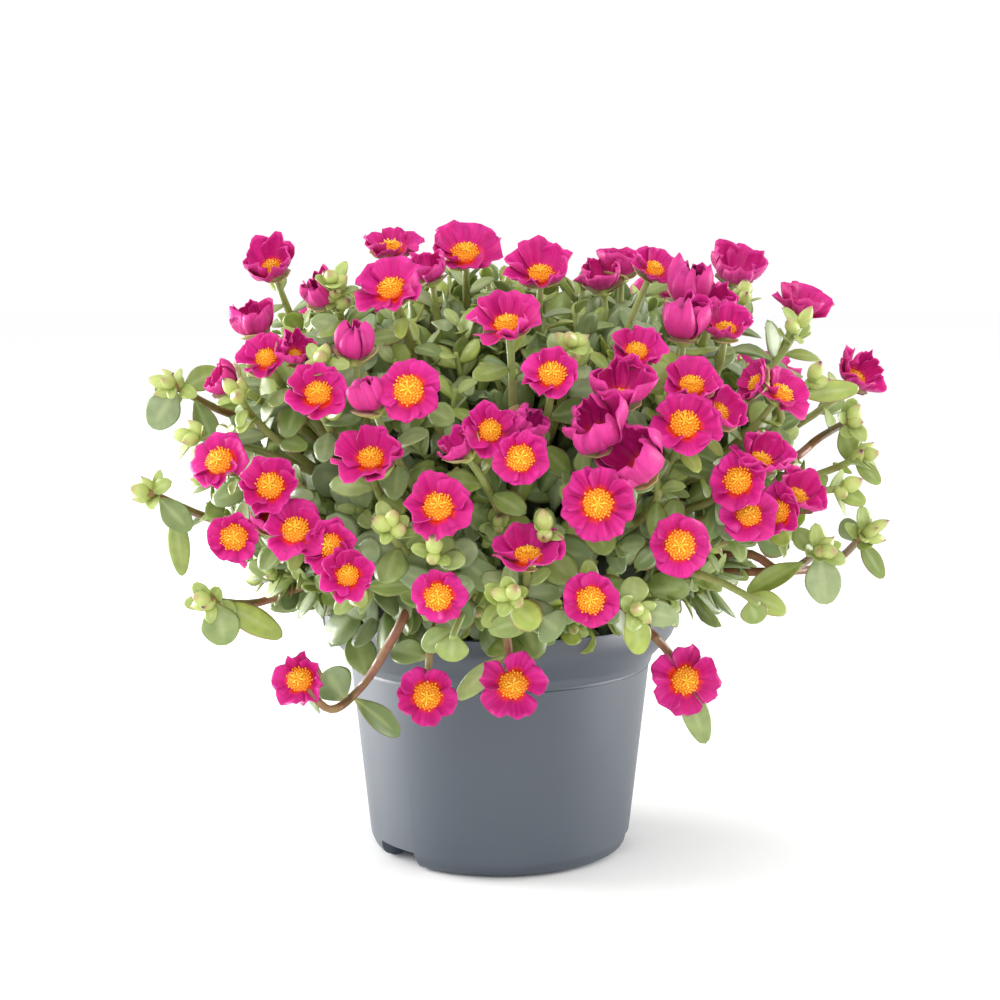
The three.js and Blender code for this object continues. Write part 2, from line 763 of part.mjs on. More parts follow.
// A point in the middle of a stem, with the way out through the middle of one
// of its sides.
function alongStem(shoot, share, side = 0) {
  const { steps, places, ways, squares } = shoot.line;
  const step = Math.min(steps - 1, Math.floor(share * steps));
  const angle = 2 * Math.PI * (side + 0.5) / stem.sides;
  return {
    place: places[step].clone().lerp(places[step + 1], share * steps - step),
    along: ways[step],
    out: squares[step].clone().applyAxisAngle(ways[step], angle),
    radius: stemRadius(shoot, share),
  };
}

function stemSolid(shoot, extra) {
  const { length, steps, places, ways, squares } = shoot.line;
  const rings = [[places[0]]];
  const first = Math.min(0.4 / steps, stem.taper / length);
  const last = 1 - 1.2 * stem.tip / length;
  for (let step = 0; step <= steps; step += 1) {
    const share = THREE.MathUtils.clamp(step / steps, first, last);
    const before = Math.max(0, step - 1);
    const way = ways[Math.min(step, steps - 1)].clone().add(ways[before]).normalize();
    const square = squares[before].clone();
    square.applyQuaternion(new THREE.Quaternion().setFromUnitVectors(ways[before], way));
    const centre = alongStem(shoot, share).place;
    const radius = stemRadius(shoot, share) + extra;
    const ring = [];
    for (let i = 0; i < stem.sides; i += 1) {
      const angle = 2 * Math.PI * i / stem.sides;
      ring.push(centre.clone().addScaledVector(square.clone().applyAxisAngle(way, angle), radius));
    }
    rings.push(ring);
  }
  rings.push([places[steps]]);
  return ringSolid(rings);
}

const bends = [
  [0, 0], [0, 1], [1, 0], [-1, 0], [1, 1], [-1, 1], [0, 2], [2, 0], [-2, 0],
  [2, 2], [-2, 2], [0, 3], [3, 1], [-3, 1], [0, 4], [3, 3], [-3, 3],
];

// Takes the first start and bend that keep the stem clear of everything but
// its parent, or failing that clear of everything outside its own clump.
function growStem(shoot, family) {
  const own = (item) => item.owner === shoot.clump;
  if (hanging.has(shoot.key)) {
    shoot.radius = stem.start;
    shoot.line = stemLine(hangingCurve(shoot));
    shoot.clear = isClear(stemSolid(shoot, 0), [...fixed, ...grown.filter((item) => !own(item))]);
    return;
  }
  const starts = startsOf(shoot, family).slice(0, 8);
  shoot.clear = [true, false].some((strict) => starts.some((start) => {
    const joins = (item) => item.base === shoot.clump || item.shoot === start.parent;
    const passes = (item) => own(item) && (!strict || joins(item));
    const obstacles = [...fixed, ...grown.filter((item) => !passes(item))];
    return bends.some((bend) => {
      shoot.radius = start.radius;
      shoot.start = start;
      shoot.line = stemLine(stemCurve(shoot, start, bend));
      return isClear(stemSolid(shoot, touchGap), obstacles);
    });
  }));
  shoot.start.parent?.forked.push(shoot.start.share);
}

// ------------------------------------------------------------ leaves, buds

function leafSites(shoot) {
  const count = leafCounts[shoot.kind];
  const sites = [];
  for (let i = 0; i < count; i += 1) {
    const salt = 30 + 7 * i;
    sites.push({
      share: shoot.kind === "bloom" ? 0.93 - 0.16 * i : 0.97 - 0.09 * i,
      side: Math.floor(stem.sides * draw(shoot.key, salt)) + i,
      open: spread(shoot.key, salt + 1, 52, 84),
      length: spread(shoot.key, salt + 2, 17, 26),
    });
  }
  return sites;
}

// A thick obovate blade, flat below and ridged above. Its points are its
// root, then belly, shoulder, shoulder and belly round the edge, and the top.
const leafFaces = [
  [0, 1, 5], [1, 2, 5], [2, 3, 5], [3, 4, 5], [4, 0, 5],
  [0, 4, 1], [1, 4, 3], [1, 3, 2],
];

function leafSolid({ place, along, out }, degreesOpen, long, extra) {
  const open = degrees(degreesOpen);
  const length = along.clone().multiplyScalar(Math.cos(open)).addScaledVector(out, Math.sin(open));
  const face = along.clone().multiplyScalar(Math.sin(open)).addScaledVector(out, -Math.cos(open));
  const width = new THREE.Vector3().crossVectors(face, length);
  const point = (x, y, z) => place.clone()
    .addScaledVector(length, x * (long + extra))
    .addScaledVector(width, y * (leaf.half * long + extra))
    .addScaledVector(face, z * (leaf.thick + extra) - extra - leaf.arch * x * x);
  const points = [
    point(0, 0, 0),
    point(leaf.belly, -1, 0),
    point(leaf.shoulder, -0.5, 0),
    point(leaf.shoulder, 0.5, 0),
    point(leaf.belly, 1, 0),
    point(leaf.middle, 0, 1),
  ];
  return solidFromTriangles(points.flatMap((spot) => spot.toArray()), leafFaces.flat());
}

const leafTries = [[0, 0], [1, 0], [2, 0], [0, 20], [1, 20], [2, 20], [0, -18], [1, -18], [2, -18]];

// The first try that keeps the leaf clear, or nothing.
function growLeaf(shoot, site, obstacles) {
  const attempt = ([side, open], extra) => {
    const root = alongStem(shoot, site.share, site.side + side);
    return leafSolid(root, site.open + open, site.length, extra);
  };
  const found = leafTries.find((way) => isClear(attempt(way, touchGap), obstacles));
  return found ? attempt(found, 0) : null;
}

// Leaves straight out of the cores, on even rounds from the crown down: those
// of the skirt hang, and the rest rise as they stand out.
function coreLeafSites(rule, hangs, salt) {
  const sites = [];
  for (let i = 0; i < rule.count; i += 1) {
    const key = salt + i;
    const height = rule.high + (rule.low - rule.high) * (i + 0.5) / rule.count;
    const turn = (137.508 * i) % 360;
    const clump = Math.floor(turn * clumps.count / 360);
    const aside = turn - 360 * (clump + 0.5) / clumps.count;
    const spare = !hangs && clump > 5 && i % 2;
    if (Math.abs(aside) < rule.edge && !spare) {
      const surface = corePoint(clump, height, aside);
      const out = domeOutward(surface);
      const lean = upright.clone().applyAxisAngle(out, degrees(spread(key, 41, -70, 70)));
      lean.multiplyScalar(hangs ? -1 : 1).addScaledVector(out, -lean.dot(out)).normalize();
      sites.push({
        clump,
        root: { place: surface.addScaledVector(out, -rule.sunk), along: lean, out },
        open: hangs ? spread(key, 42, 40, 80) : spread(key, 42, 45, 90),
        length: rule.sunk + spread(key, 43, 18, 27),
      });
    }
  }
  return sites;
}

function growCoreLeaf({ clump, root, open, length }) {
  const obstacles = [...fixed, ...grown.filter((item) => item.base !== clump)];
  const clear = (more) => isClear(leafSolid(root, open + more, length, touchGap), obstacles);
  const found = [0, 14, -14].find(clear);
  if (found !== undefined) {
    grown.push(entry(leafSolid(root, open + found, length, 0), clump));
  }
}

// Buds stand round a shoot's tip, each a little lower than the last.
function budSolid(shoot, index) {
  const around = frameFrom(shoot.aim, degrees(137.5 * index + 360 * draw(shoot.key, 5)));
  const out = new THREE.Vector3().setFromMatrixColumn(around, 0);
  const aim = shoot.aim.clone().addScaledVector(out, index ? bud.lean : 0.3).normalize();
  const length = bud.length * spread(shoot.key, 60 + index, 0.85, 1.15);
  const down = (bud.sunk + bud.apart * index) / shoot.line.length;
  const foot = alongStem(shoot, 1 - down).place;
  const pose = frameFrom(aim, 0).setPosition(foot);
  const ring = [];
  for (let i = 0; i < bud.sides; i += 1) {
    const angle = 2 * Math.PI * i / bud.sides;
    ring.push(new THREE.Vector3(bud.radius * Math.cos(angle), bud.radius * Math.sin(angle), 0.5 * length));
  }
  const rings = [[new THREE.Vector3()], ring, [new THREE.Vector3(0, 0, length)]];
  return ringSolid(rings.map((points) => points.map((point) => point.applyMatrix4(pose))));
}

// ------------------------------------------------------------ growing

const blooms = allBlooms();
const heads = gatherBlooms(blooms);
const potBody = potSolid();
const soilBody = soilSolid();
const shoots = allShoots(blooms);
const fixed = [entry(potBody, "pot"), entry(soilBody, "soil"), ...heads];

// Every clump's own solids, with their owner, so that a new one is tested
// only against what belongs to other nodes.
const grown = [];
for (let clump = 0; clump < clumps.count; clump += 1) {
  const root = column(rootPlace(clump), clumps.radius, clumps.foot, clumps.top, 6);
  grown.push({ ...entry(root, clump), base: clump }, { ...entry(coreSolid(clump), clump), base: clump });
}

// What a leaf keeps clear of: all but the stem that it grows from and the
// inside of its clump.
function othersThan(shoot) {
  return [...fixed, ...grown.filter((item) => item.shoot !== shoot && item.base !== shoot.clump)];
}

shoots.forEach((shoot) => {
  const family = shoots.filter((other) => other.clump === shoot.clump && other.clear);
  growStem(shoot, family);
  if (shoot.clear) {
    grown.push({ ...entry(stemSolid(shoot, 0), shoot.clump), shoot });
  }
});

shoots.filter((shoot) => shoot.clear).forEach((shoot) => {
  for (let i = 0; i < shoot.buds; i += 1) {
    const solid = budSolid(shoot, i);
    if (isClear(solid, othersThan(shoot))) {
      grown.push(entry(solid, shoot.clump));
    }
  }
});

for (let round = 0; round < 5; round += 1) {
  shoots.filter((shoot) => shoot.clear).forEach((shoot) => {
    const site = leafSites(shoot)[round];
    if (!site) {
      return;
    }
    const solid = growLeaf(shoot, site, othersThan(shoot));
    if (solid) {
      grown.push(entry(solid, shoot.clump));
    }
  });
}

coreLeafSites(skirtLeaves, true, 700).forEach(growCoreLeaf);
coreLeafSites(coreLeaves, false, 300).forEach(growCoreLeaf);

// ------------------------------------------------------------ the object

function finish(color, roughness) {
  return new THREE.MeshStandardMaterial({ color, roughness, metalness: 0 });
}

function piece(name, solid, material) {
  const { vertProperties, triVerts } = solid.getMesh();
  const geometry = new THREE.BufferGeometry();
  geometry.setAttribute("position", new THREE.BufferAttribute(vertProperties, 3));
  geometry.setIndex(new THREE.BufferAttribute(triVerts, 1));
  geometry.computeVertexNormals();
  const mesh = new THREE.Mesh(geometry, material);
  mesh.name = name;
  return mesh;
}

const portulaca = new THREE.Group();
portulaca.add(piece("pot", potBody, finish(0x6b747d, 0.55)));
portulaca.add(piece("soil", soilBody, finish(0x3a2c22, 1)));

for (let clump = 0; clump < clumps.count; clump += 1) {
  const parts = grown.filter((item) => item.owner === clump).map((item) => item.solid);
  const body = cleaned(wasm.Manifold.union(parts));
  portulaca.add(piece(`clump_${clump + 1}`, body, finish(0x6f8f55, 0.5)));
}

heads.forEach((head) => {
  const name = `bloom_${String(head.keys[0] + 1).padStart(2, "0")}`;
  portulaca.add(piece(name, head.solid, finish(0xd81b84, 0.6)));
});

export default portulaca;
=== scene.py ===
import math

import bmesh
import bpy
from mathutils import Matrix, Quaternion, Vector, geometry, noise


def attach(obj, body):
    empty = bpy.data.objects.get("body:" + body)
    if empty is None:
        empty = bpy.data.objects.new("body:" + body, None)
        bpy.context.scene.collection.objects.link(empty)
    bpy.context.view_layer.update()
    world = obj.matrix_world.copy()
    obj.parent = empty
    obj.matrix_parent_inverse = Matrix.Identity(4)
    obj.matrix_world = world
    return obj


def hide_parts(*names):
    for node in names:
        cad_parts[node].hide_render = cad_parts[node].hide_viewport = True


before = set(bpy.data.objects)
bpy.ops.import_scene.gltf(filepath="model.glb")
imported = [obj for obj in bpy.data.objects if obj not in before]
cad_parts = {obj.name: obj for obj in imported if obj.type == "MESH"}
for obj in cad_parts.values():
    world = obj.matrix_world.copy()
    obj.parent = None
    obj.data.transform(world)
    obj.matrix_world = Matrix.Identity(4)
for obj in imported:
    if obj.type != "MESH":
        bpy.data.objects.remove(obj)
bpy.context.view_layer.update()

# A potted portulaca in full flower. Everything is shaped in millimetres, in the
# part's own frame, and each finished piece is brought to metres at the end.

mm = 0.001
upright = Vector((0, 0, 1))
goldenTurn = 137.508


def between(low, high, share):
    return low + (high - low) * share


def draw(key, salt):
    # a repeatable draw from 0 to 1
    wave = math.sin(key * 12.9898 + salt * 78.233) * 43758.5453
    return wave - math.floor(wave)


def spread(key, salt, low, high):
    return between(low, high, draw(key, salt))


def clamp(value, low=0.0, high=1.0):
    return max(low, min(high, value))


def ovalPoint(wide, deep, turn, height):
    return Vector((wide * math.cos(turn), deep * math.sin(turn), height))


def ringPoint(radius, turn, height=0):
    return ovalPoint(radius, radius, turn, height)


# ---- where things grow

dome = {"reach": 158, "depth": 146, "middle": 160, "crown": 103, "skirt": 80, "fullness": 2.6,
        "steep": 0.75, "lift": 0.25}
sight = {"back": 900, "high": 280, "down": 8.27, "sheet": 902, "search": (700, 960)}
backPairs = {"count": 12, "high": 240, "low": 118, "thins": 0.8, "first": 26, "last": 154, "reach": 0.9,
             "further": 1.17, "wide": 26, "vary": (0.86, 1.12), "apart": 20, "tip": 0.6, "part": 0.3,
             "open": (0.6, 1), "sixPetals": 0.25}

# across, rise and width on the sighting sheet in mm; turn and tilt in degrees;
# how far open, from 0 to 1; how far it stands out of the dome in mm
surveyedBlooms = [
    (-96.5, 100, 22, -10, 42, 0.55, 0), (-46, 106, 25, 0, 68, 0.8, -55),
    (-14.5, 104, 31.5, 0, 50, 0.85, -25), (-46, 89.5, 29.5, -18, 42, 0.75, 0),
    (17, 96.5, 29.5, 0, 55, 0.7, -8), (51, 100, 19, 0, 80, 0.5, -42),
    (65, 97.5, 20, 25, 45, 0.7, 0), (80, 91, 21, 10, 75, 0.25, 0),
    (99.5, 98, 21.5, 15, 60, 0.5, -30), (127, 82.5, 23, 40, 65, 0.6, 0),
    (3, 75, 29, -10, 55, 0.7, 4), (77.5, 77, 20.5, 0, 70, 0.2, 2),
    (95, 73.5, 23, 0, 58, 0.6, 2), (-103.5, 75, 17.5, -20, 70, 0.45, -8),
    (-75, 88, 15, -30, 40, 0.3, -6), (-98.5, 60, 21, -10, 35, 0.7, 4),
    (-86, 63, 16, 12, 45, 0.5, 0), (-76.5, 45, 26, 0, 38, 0.75, 5),
    (-61, 67, 17, 0, 70, 0.1, 2), (-38, 46, 28, -10, 14, 1, 6),
    (-55.5, 44, 16, -40, 60, 0.3, 4), (-115.5, 50.5, 15, -60, 30, 0.5, -8),
    (22, 52.5, 25, 0, 35, 0.85, 6), (57.5, 63, 22, 0, 45, 0.7, 0),
    (50.5, 47.5, 25, 0, 55, 0.5, 2), (80.5, 49, 25, 0, 50, 0.7, 0),
    (77.5, 31.5, 32, 0, 38, 0.9, 6), (93, 38, 22, 30, 35, 0.6, 0),
    (107, 49.5, 19, -70, 30, 0.7, -3), (119, 45.5, 24, 40, 48, 0.7, 2),
    (151, 53, 20.5, 30, 40, 0.55, 0), (-4, 29.5, 23.5, 10, 25, 0.7, -4),
    (-17, 23, 16, -50, 50, 0.5, -4), (12, 33, 16, 30, 40, 0.4, -8),
    (8.5, 17.5, 24.5, 0, 14, 0.9, 8), (40, 31, 25, -20, 40, 0.35, 3),
    (56.5, 17.5, 27.5, -35, 30, 0.4, 4), (41, -1.5, 33, 0, 8, 1, 10),
    (-54.5, 19, 28.5, 0, 45, 0.65, 2), (-117.5, 16, 26, -20, 30, 0.85, 0),
    (-96.5, 6, 26, 0, 25, 0.8, 3), (-96, -6, 15, 10, 30, 0.3, -4),
    (-111.5, -15.5, 24, 0, 5, 0.95, 6), (-86, -12.5, 26, 0, 38, 0.8, 4),
    (-71.5, -19, 23, -20, 15, 0.75, 2), (-64, -31.5, 23, 0, 30, 0.7, 8),
    (-26, -3, 30, 0, 35, 0.85, 4), (11.5, -22, 33, 0, 68, 0.75, 2),
    (-26, -40.5, 24.5, 0, 5, 1, 6), (38, -42, 25, 0, 10, 0.95, 6),
    (75.5, -19, 28, 0, 10, 1, 6), (100, 8, 25, -10, 20, 0.85, 4),
    (110, 18.5, 25, 20, 58, 0.6, 3), (104.5, -6, 23.5, 0, 20, 0.8, 5),
    (116.5, -5, 23, -10, 25, 0.75, 8), (125.5, 3, 24, 30, 50, 0.6, 6),
    (-84, -75.5, 23, -10, 25, 0.85, 12), (-30.5, -82, 27.5, 0, 5, 1, 14),
    (5.5, -77.5, 31, 0, 10, 1, 6), (77.5, -75.5, 31.5, 10, 5, 1, 12),
    (90, 82, 17, 20, 60, 0.4, -4), (43, 94, 18, -20, 70, 0.5, -49),
    (-30, 97, 16, -20, 60, 0.5, -26),
]
petalCounts = {1: 6, 4: 6, 10: 6, 37: 8, 59: 6, 30: 6}  # the rest have five
slimPetals = {19: 1.3, 56: 1.2, 57: 1.12, 58: 1.02, 59: 1.14}  # their width; the rest lap widely

# blooms that press together are one head, by place in the list above
heads = [
    [2, 62], [5, 61], [6, 7, 11, 12, 60], [15, 16], [17, 19, 20], [28, 29], [31, 32, 33],
    [23, 24, 25, 26, 27, 35, 36, 37], [40, 43, 44, 45], [41, 42], [51, 52, 53, 54, 55],
]

# shoots that end in buds: across, rise, turn, tilt, number of buds, stand
firstShoot = 100  # the key of the first; blooms have the keys below it
surveyedShoots = [
    (-138.5, 49, -70, 25, 5, 0), (-111, 45, -30, 50, 3, 0), (-130, 27, -70, 10, 3, 0),
    (-148, 3.5, -70, 25, 3, 0), (-122, -42, -60, 0, 4, 0), (131, 51, 50, 45, 2, 0),
    (147, 33.5, 60, 40, 2, 0), (153, 19, 60, 30, 3, 0), (144.5, 5, 60, 10, 2, 0),
    (154, -13, 65, 20, 4, 0), (135, -21, 40, 20, 4, 4), (4.5, -40, 0, 20, 3, 12),
    (-70, 92.5, 0, 45, 8, 7), (30.5, 66, 0, 40, 4, 4), (108.5, -44, 30, -20, 0, 0),
    (-75.5, 59, 0, 40, 3, 4), (-46, -10, 0, 40, 3, 4), (-27, -21.5, 0, 30, 2, 4),
    (19.5, -12, 0, 40, 2, 0), (103, 86, 20, 60, 2, -20), (126, 73, 30, 50, 2, 0),
    (17, -50, 0, 0, 0, 4), (-20, -58, -10, -20, 0, 4), (58, -46, 10, 10, 2, 4),
]

# blooms that hang before the pot, with the points their stems pass on the way
hanging = {
    56: [(-45, -58, -40), (-57, -77, -6), (-71, -88, 2)],
    57: [(-28, -56, -46)],
    58: [(2, -50, -49)],
    59: [(58, -51, -61), (70, -63, -36)],
}

# points that the stems of the outermost shoots pass: across and rise on the
# sheet, and the depth behind the pot's axis
bends = {
    100: [(-80, 30, -20), (-113, 36, -28)], 103: [(-100, -14, -25), (-124, -7, -28)],
    104: [(-70, -32, -30), (-101, -43, -30)], 106: [(118, 14, -20), (134, 26, -20)],
    109: [(118, -30, -30), (139, -27, -25)], 110: [(100, -22, -35), (119, -30, -40)],
}

# leaves seen singly, by the shoot or bloom that bears them: distance down its
# stem, where the tip points on the sheet, width and age
placedLeaves = {
    56: [(28, -74, -71, 15, 0.95), (10, -79, -89, 7, 0.9), (33, -43, -99, 9, 1.0), (44, -61, -56, 12, 0.5)],
    57: [(14, -46, -62, 11, 0.7)],
    58: [(12, -4, -60, 10, 0.6), (12, -20, -84, 8, 0.2)],
    59: [(4, 87, -103, 10, 0.5)],
    100: [(6, -146, 30, 12.5, 0.7), (10, -118, 55, 9, 0.6), (22, -120, 22, 9, 0.9)],
    103: [(9, -130, -13, 10, 0.8), (24, -133, -32, 8, 0.0)],
    104: [(6, -115, -61, 14, 0.6), (9, -91, -57, 10, 0.1)],
    105: [(10, 151, 47, 8, 0.2)],
    106: [(6, 147, 26, 7, 0.4), (18, 150, 16, 9, 0.5)],
    107: [(5, 160, 7, 6.5, 0.5), (9, 143, 12, 8, 0.2)],
    108: [(5, 154, -1, 7, 0.4), (8, 132, 8, 9, 0.6)],
    109: [(8, 161, -33, 7, 0.7), (12, 144, -8, 8, 0.5)],
    110: [(3, 137, -44, 13, 0.1), (9, 124, -12, 8, 0.5), (24, 104, -40, 9, 0.4)],
    114: [(5, 108, -52, 10, 0.6), (9, 121, -46, 9, 0.3)],
    121: [(3, 26, -56, 14, 0.9), (6, -5, -55, 9, 0.6)],
    122: [(4, -21, -68, 11.5, 0.4), (7, -33, -62, 9, 0.6)],
    123: [(5, 56, -32, 10, 0.2), (7, 59, -65, 9.5, 0.1), (9, 75, -50, 9, 0.3)],
}

eye = Vector((0, -sight["back"], sight["high"]))
pitch = math.radians(sight["down"])


def sightLine(across, rise):
    line = Vector((
        across,
        sight["sheet"] * math.cos(pitch) + rise * math.sin(pitch),
        rise * math.cos(pitch) - sight["sheet"] * math.sin(pitch),
    ))
    return line.normalized()


def sightPoint(across, rise, depth):
    # where the sight line passes a depth behind the pot's axis
    line = sightLine(across, rise)
    return eye + line * ((depth - eye.y) / line.y)


def domeTall(height):
    # how far a height lies towards the crown or the skirt
    rise = height - dome["middle"]
    return abs(rise) / (dome["crown"] if rise > 0 else dome["skirt"])


def domeLevel(point):
    # under 1 inside the dome, over 1 outside it
    wide = math.hypot(point.x / dome["reach"], point.y / dome["depth"])
    return wide ** dome["fullness"] + domeTall(point.z) ** dome["fullness"]


def onDome(across, rise, stand):
    # where the sight line first meets the dome, or passes closest to it
    line = sightLine(across, rise)
    best = math.inf
    reached = 0
    for away in range(*sight["search"]):
        level = domeLevel(eye + line * away)
        if level < best:
            best = level
            reached = away
        if level < 1:
            break
    return eye + line * (reached - stand)


def aimed(turn, tilt):
    turn, tilt = math.radians(turn), math.radians(tilt)
    return Vector((math.cos(tilt) * math.sin(turn), -math.cos(tilt) * math.cos(turn), math.sin(tilt)))


def domePoint(turn, height, share):
    wide = share * max(0, 1 - domeTall(height) ** dome["fullness"]) ** (1 / dome["fullness"])
    return ovalPoint(wide * dome["reach"], wide * dome["depth"], math.radians(turn), height)


def domeOutward(point):
    rise = dome["steep"] * (point.z - dome["middle"]) / dome["crown"] + dome["lift"]
    return Vector((point.x / dome["reach"], point.y / dome["depth"], rise)).normalized()


def frameFrom(direction, roll):
    # a turned frame with its Z along the direction
    side = upright.cross(direction)
    if side.length < 0.05:
        side = Vector((1, 0, 0))
    side.normalize()
    lift = direction.cross(side)
    x = side * math.cos(roll) + lift * math.sin(roll)
    y = direction.cross(x)
    return Matrix((x, y, direction)).transposed().to_4x4()


def placedFrame(direction, roll, place):
    pose = frameFrom(direction, roll)
    pose.translation = place
    return pose


# ---- materials

shaderSockets = {
    "baseColour": "Base Color", "roughness": "Roughness", "normal": "Normal", "ior": "IOR",
    "sheen": "Sheen Weight", "sheenRoughness": "Sheen Roughness", "sheenTint": "Sheen Tint",
    "under": "Subsurface Weight", "underRadius": "Subsurface Radius",
    "underScale": "Subsurface Scale", "specular": "Specular IOR Level",
}


def colour(text):
    # an sRGB hex value as linear light
    parts = [int(text[i:i + 2], 16) / 255 for i in (1, 3, 5)]
    return [p / 12.92 if p <= 0.04045 else ((p + 0.055) / 1.055) ** 2.4 for p in parts] + [1]


def setInput(tree, socket, value):
    if isinstance(value, bpy.types.NodeSocket):
        tree.links.new(value, socket)
    else:
        socket.default_value = value


def addNode(tree, kind, inputs=None, **settings):
    node = tree.nodes.new(kind)
    for name, value in settings.items():
        setattr(node, name, value)
    for name, value in (inputs or {}).items():
        setInput(tree, node.inputs[name], value)
    return node


def startMaterial(name):
    material = bpy.data.materials.new(name)
    material.use_nodes = True
    tree = material.node_tree
    return material, tree, tree.nodes["Principled BSDF"]


def setSockets(tree, shader, **values):
    for name, value in values.items():
        setInput(tree, shader.inputs[shaderSockets[name]], value)


def objectPlace(tree):
    return addNode(tree, "ShaderNodeTexCoord").outputs["Object"]


def every(size):
    # the scale of a pattern that repeats every so many mm
    return 1 / (size * mm)


def noisy(tree, place, scale, detail):
    inputs = {"Vector": place, "Scale": scale, "Detail": detail}
    return addNode(tree, "ShaderNodeTexNoise", inputs).outputs["Fac"]


def celled(tree, place, scale):
    inputs = {"Vector": place, "Scale": scale}
    return addNode(tree, "ShaderNodeTexVoronoi", inputs).outputs["Distance"]


def ranged(tree, value, fromLow, fromHigh, low=0, high=1):
    inputs = {0: value, 1: fromLow, 2: fromHigh, 3: low, 4: high}
    return addNode(tree, "ShaderNodeMapRange", inputs).outputs[0]


def reckoned(tree, operation, first, second):
    return addNode(tree, "ShaderNodeMath", {0: first, 1: second}, operation=operation).outputs[0]


def layered(tree, base, *layers):
    # colours laid over the base, each with how much of it there is
    for share, over in layers:
        pair = [colour(tone) if isinstance(tone, str) else tone for tone in (base, over)]
        inputs = {0: share, 6: pair[0], 7: pair[1]}
        base = addNode(tree, "ShaderNodeMix", inputs, data_type="RGBA").outputs[2]
    return base


def bumped(tree, height, strength, depth):
    inputs = {"Height": height, "Strength": strength, "Distance": depth * mm}
    return addNode(tree, "ShaderNodeBump", inputs).outputs[0]


def readTone(tree):
    # every grown surface carries four numbers: how far along it is, how far
    # across, which side or tint, and its age
    tone = addNode(tree, "ShaderNodeAttribute", attribute_name="tone")
    parts = addNode(tree, "ShaderNodeSeparateColor", {0: tone.outputs["Color"]})
    return [parts.outputs[0], parts.outputs[1], parts.outputs[2], tone.outputs["Alpha"]]


def mouldedPolypropylene():
    # Injection-moulded polypropylene in blue-grey: half matt, with a faint spark
    # texture and a slight clouding of the pigment.
    material, tree, shader = startMaterial("moulded_polypropylene")
    place = objectPlace(tree)
    cloud = noisy(tree, place, every(28.57), 3)
    setSockets(
        tree, shader, baseColour=layered(tree, "#313A46", (cloud, "#39434F")),
        roughness=ranged(tree, cloud, 0, 1, 0.42, 0.5),
        normal=bumped(tree, noisy(tree, place, every(0.8), 2), 0.12, 0.1), ior=1.49, specular=0.85,
    )
    return material


def pottingSoil():
    # Peat and bark compost: dark, dry on the crumbs' tops, with pale perlite specks.
    material, tree, shader = startMaterial("potting_soil")
    place = objectPlace(tree)
    crumbs = noisy(tree, place, every(4), 6)
    perlite = ranged(tree, celled(tree, place, every(7)), 0.16, 0.12)
    setSockets(
        tree, shader, baseColour=layered(tree, "#1E1510", (crumbs, "#57422F"), (perlite, "#CFC8BA")),
        roughness=0.95, normal=bumped(tree, crumbs, 0.9, 1.5),
    )
    return material


def succulentLeaf():
    # A fleshy leaf under a thin wax: grey-green and half matt, yellower while it
    # is young, with a red rim where the sun has caught it.
    material, tree, shader = startMaterial("succulent_leaf")
    reach, across, tint, age = readTone(tree)
    place = objectPlace(tree)
    wax = ranged(tree, tint, 0.4, 1, 0, 0.8)
    # painted shade: darker green patches laid at random, standing for shade among the leaves as well as the
    # leaf's own mottling
    paintedShadePatches = ranged(tree, noisy(tree, place, every(5), 4), 0.35, 0.75, 0, 0.45)
    foot = ranged(tree, reach, 0.22, 0, 0, 0.6)
    rib = ranged(tree, across, 0.3, 0.05, 0, 0.3)
    rim = ranged(tree, across, 0.8, 1)
    sunned = reckoned(tree, "MULTIPLY", rim, ranged(tree, tint, 0.55, 0.1, 0, 0.75))
    base = layered(
        tree, "#A6B552", (age, "#667C3E"), (wax, "#92A07C"), (paintedShadePatches, "#55672F"),
        (foot, "#B9C07A"), (rib, "#BAC58C"), (sunned, "#8E5A44"),
    )
    setSockets(
        tree, shader, baseColour=base, roughness=0.42, specular=0.5,
        normal=bumped(tree, noisy(tree, place, every(1.2), 2), 0.25, 0.15),
        under=0.12, underRadius=(0.4, 0.9, 0.2), underScale=1.5 * mm,
    )
    return material


def paintedShadeLeaves():
    # Painted shade: a near-black green for the old leaves deep in the plant, where little light comes, darker
    # still in the gaps between the blades.
    material, tree, shader = startMaterial("painted_shade_leaves")
    blades = celled(tree, objectPlace(tree), every(9))
    setSockets(
        tree, shader, baseColour=layered(tree, "#36461F", (blades, "#0E1308")),
        roughness=0.7, normal=bumped(tree, blades, 1, 3),
    )
    return material


def fleshyStem():
    # Juicy stems: green where they are young, red-brown and a little rough below.
    material, tree, shader = startMaterial("fleshy_stem")
    age = readTone(tree)[3]
    streaks = noisy(tree, objectPlace(tree), every(6), 4)
    ripe = reckoned(tree, "SUBTRACT", reckoned(tree, "ADD", age, 0.5), streaks)
    setSockets(
        tree, shader, baseColour=layered(tree, "#8A9C50", (ripe, "#85523A")),
        roughness=0.45, normal=bumped(tree, streaks, 0.3, 0.4),
        under=0.1, underRadius=(0.9, 0.5, 0.2), underScale=1.5 * mm,
    )
    return material


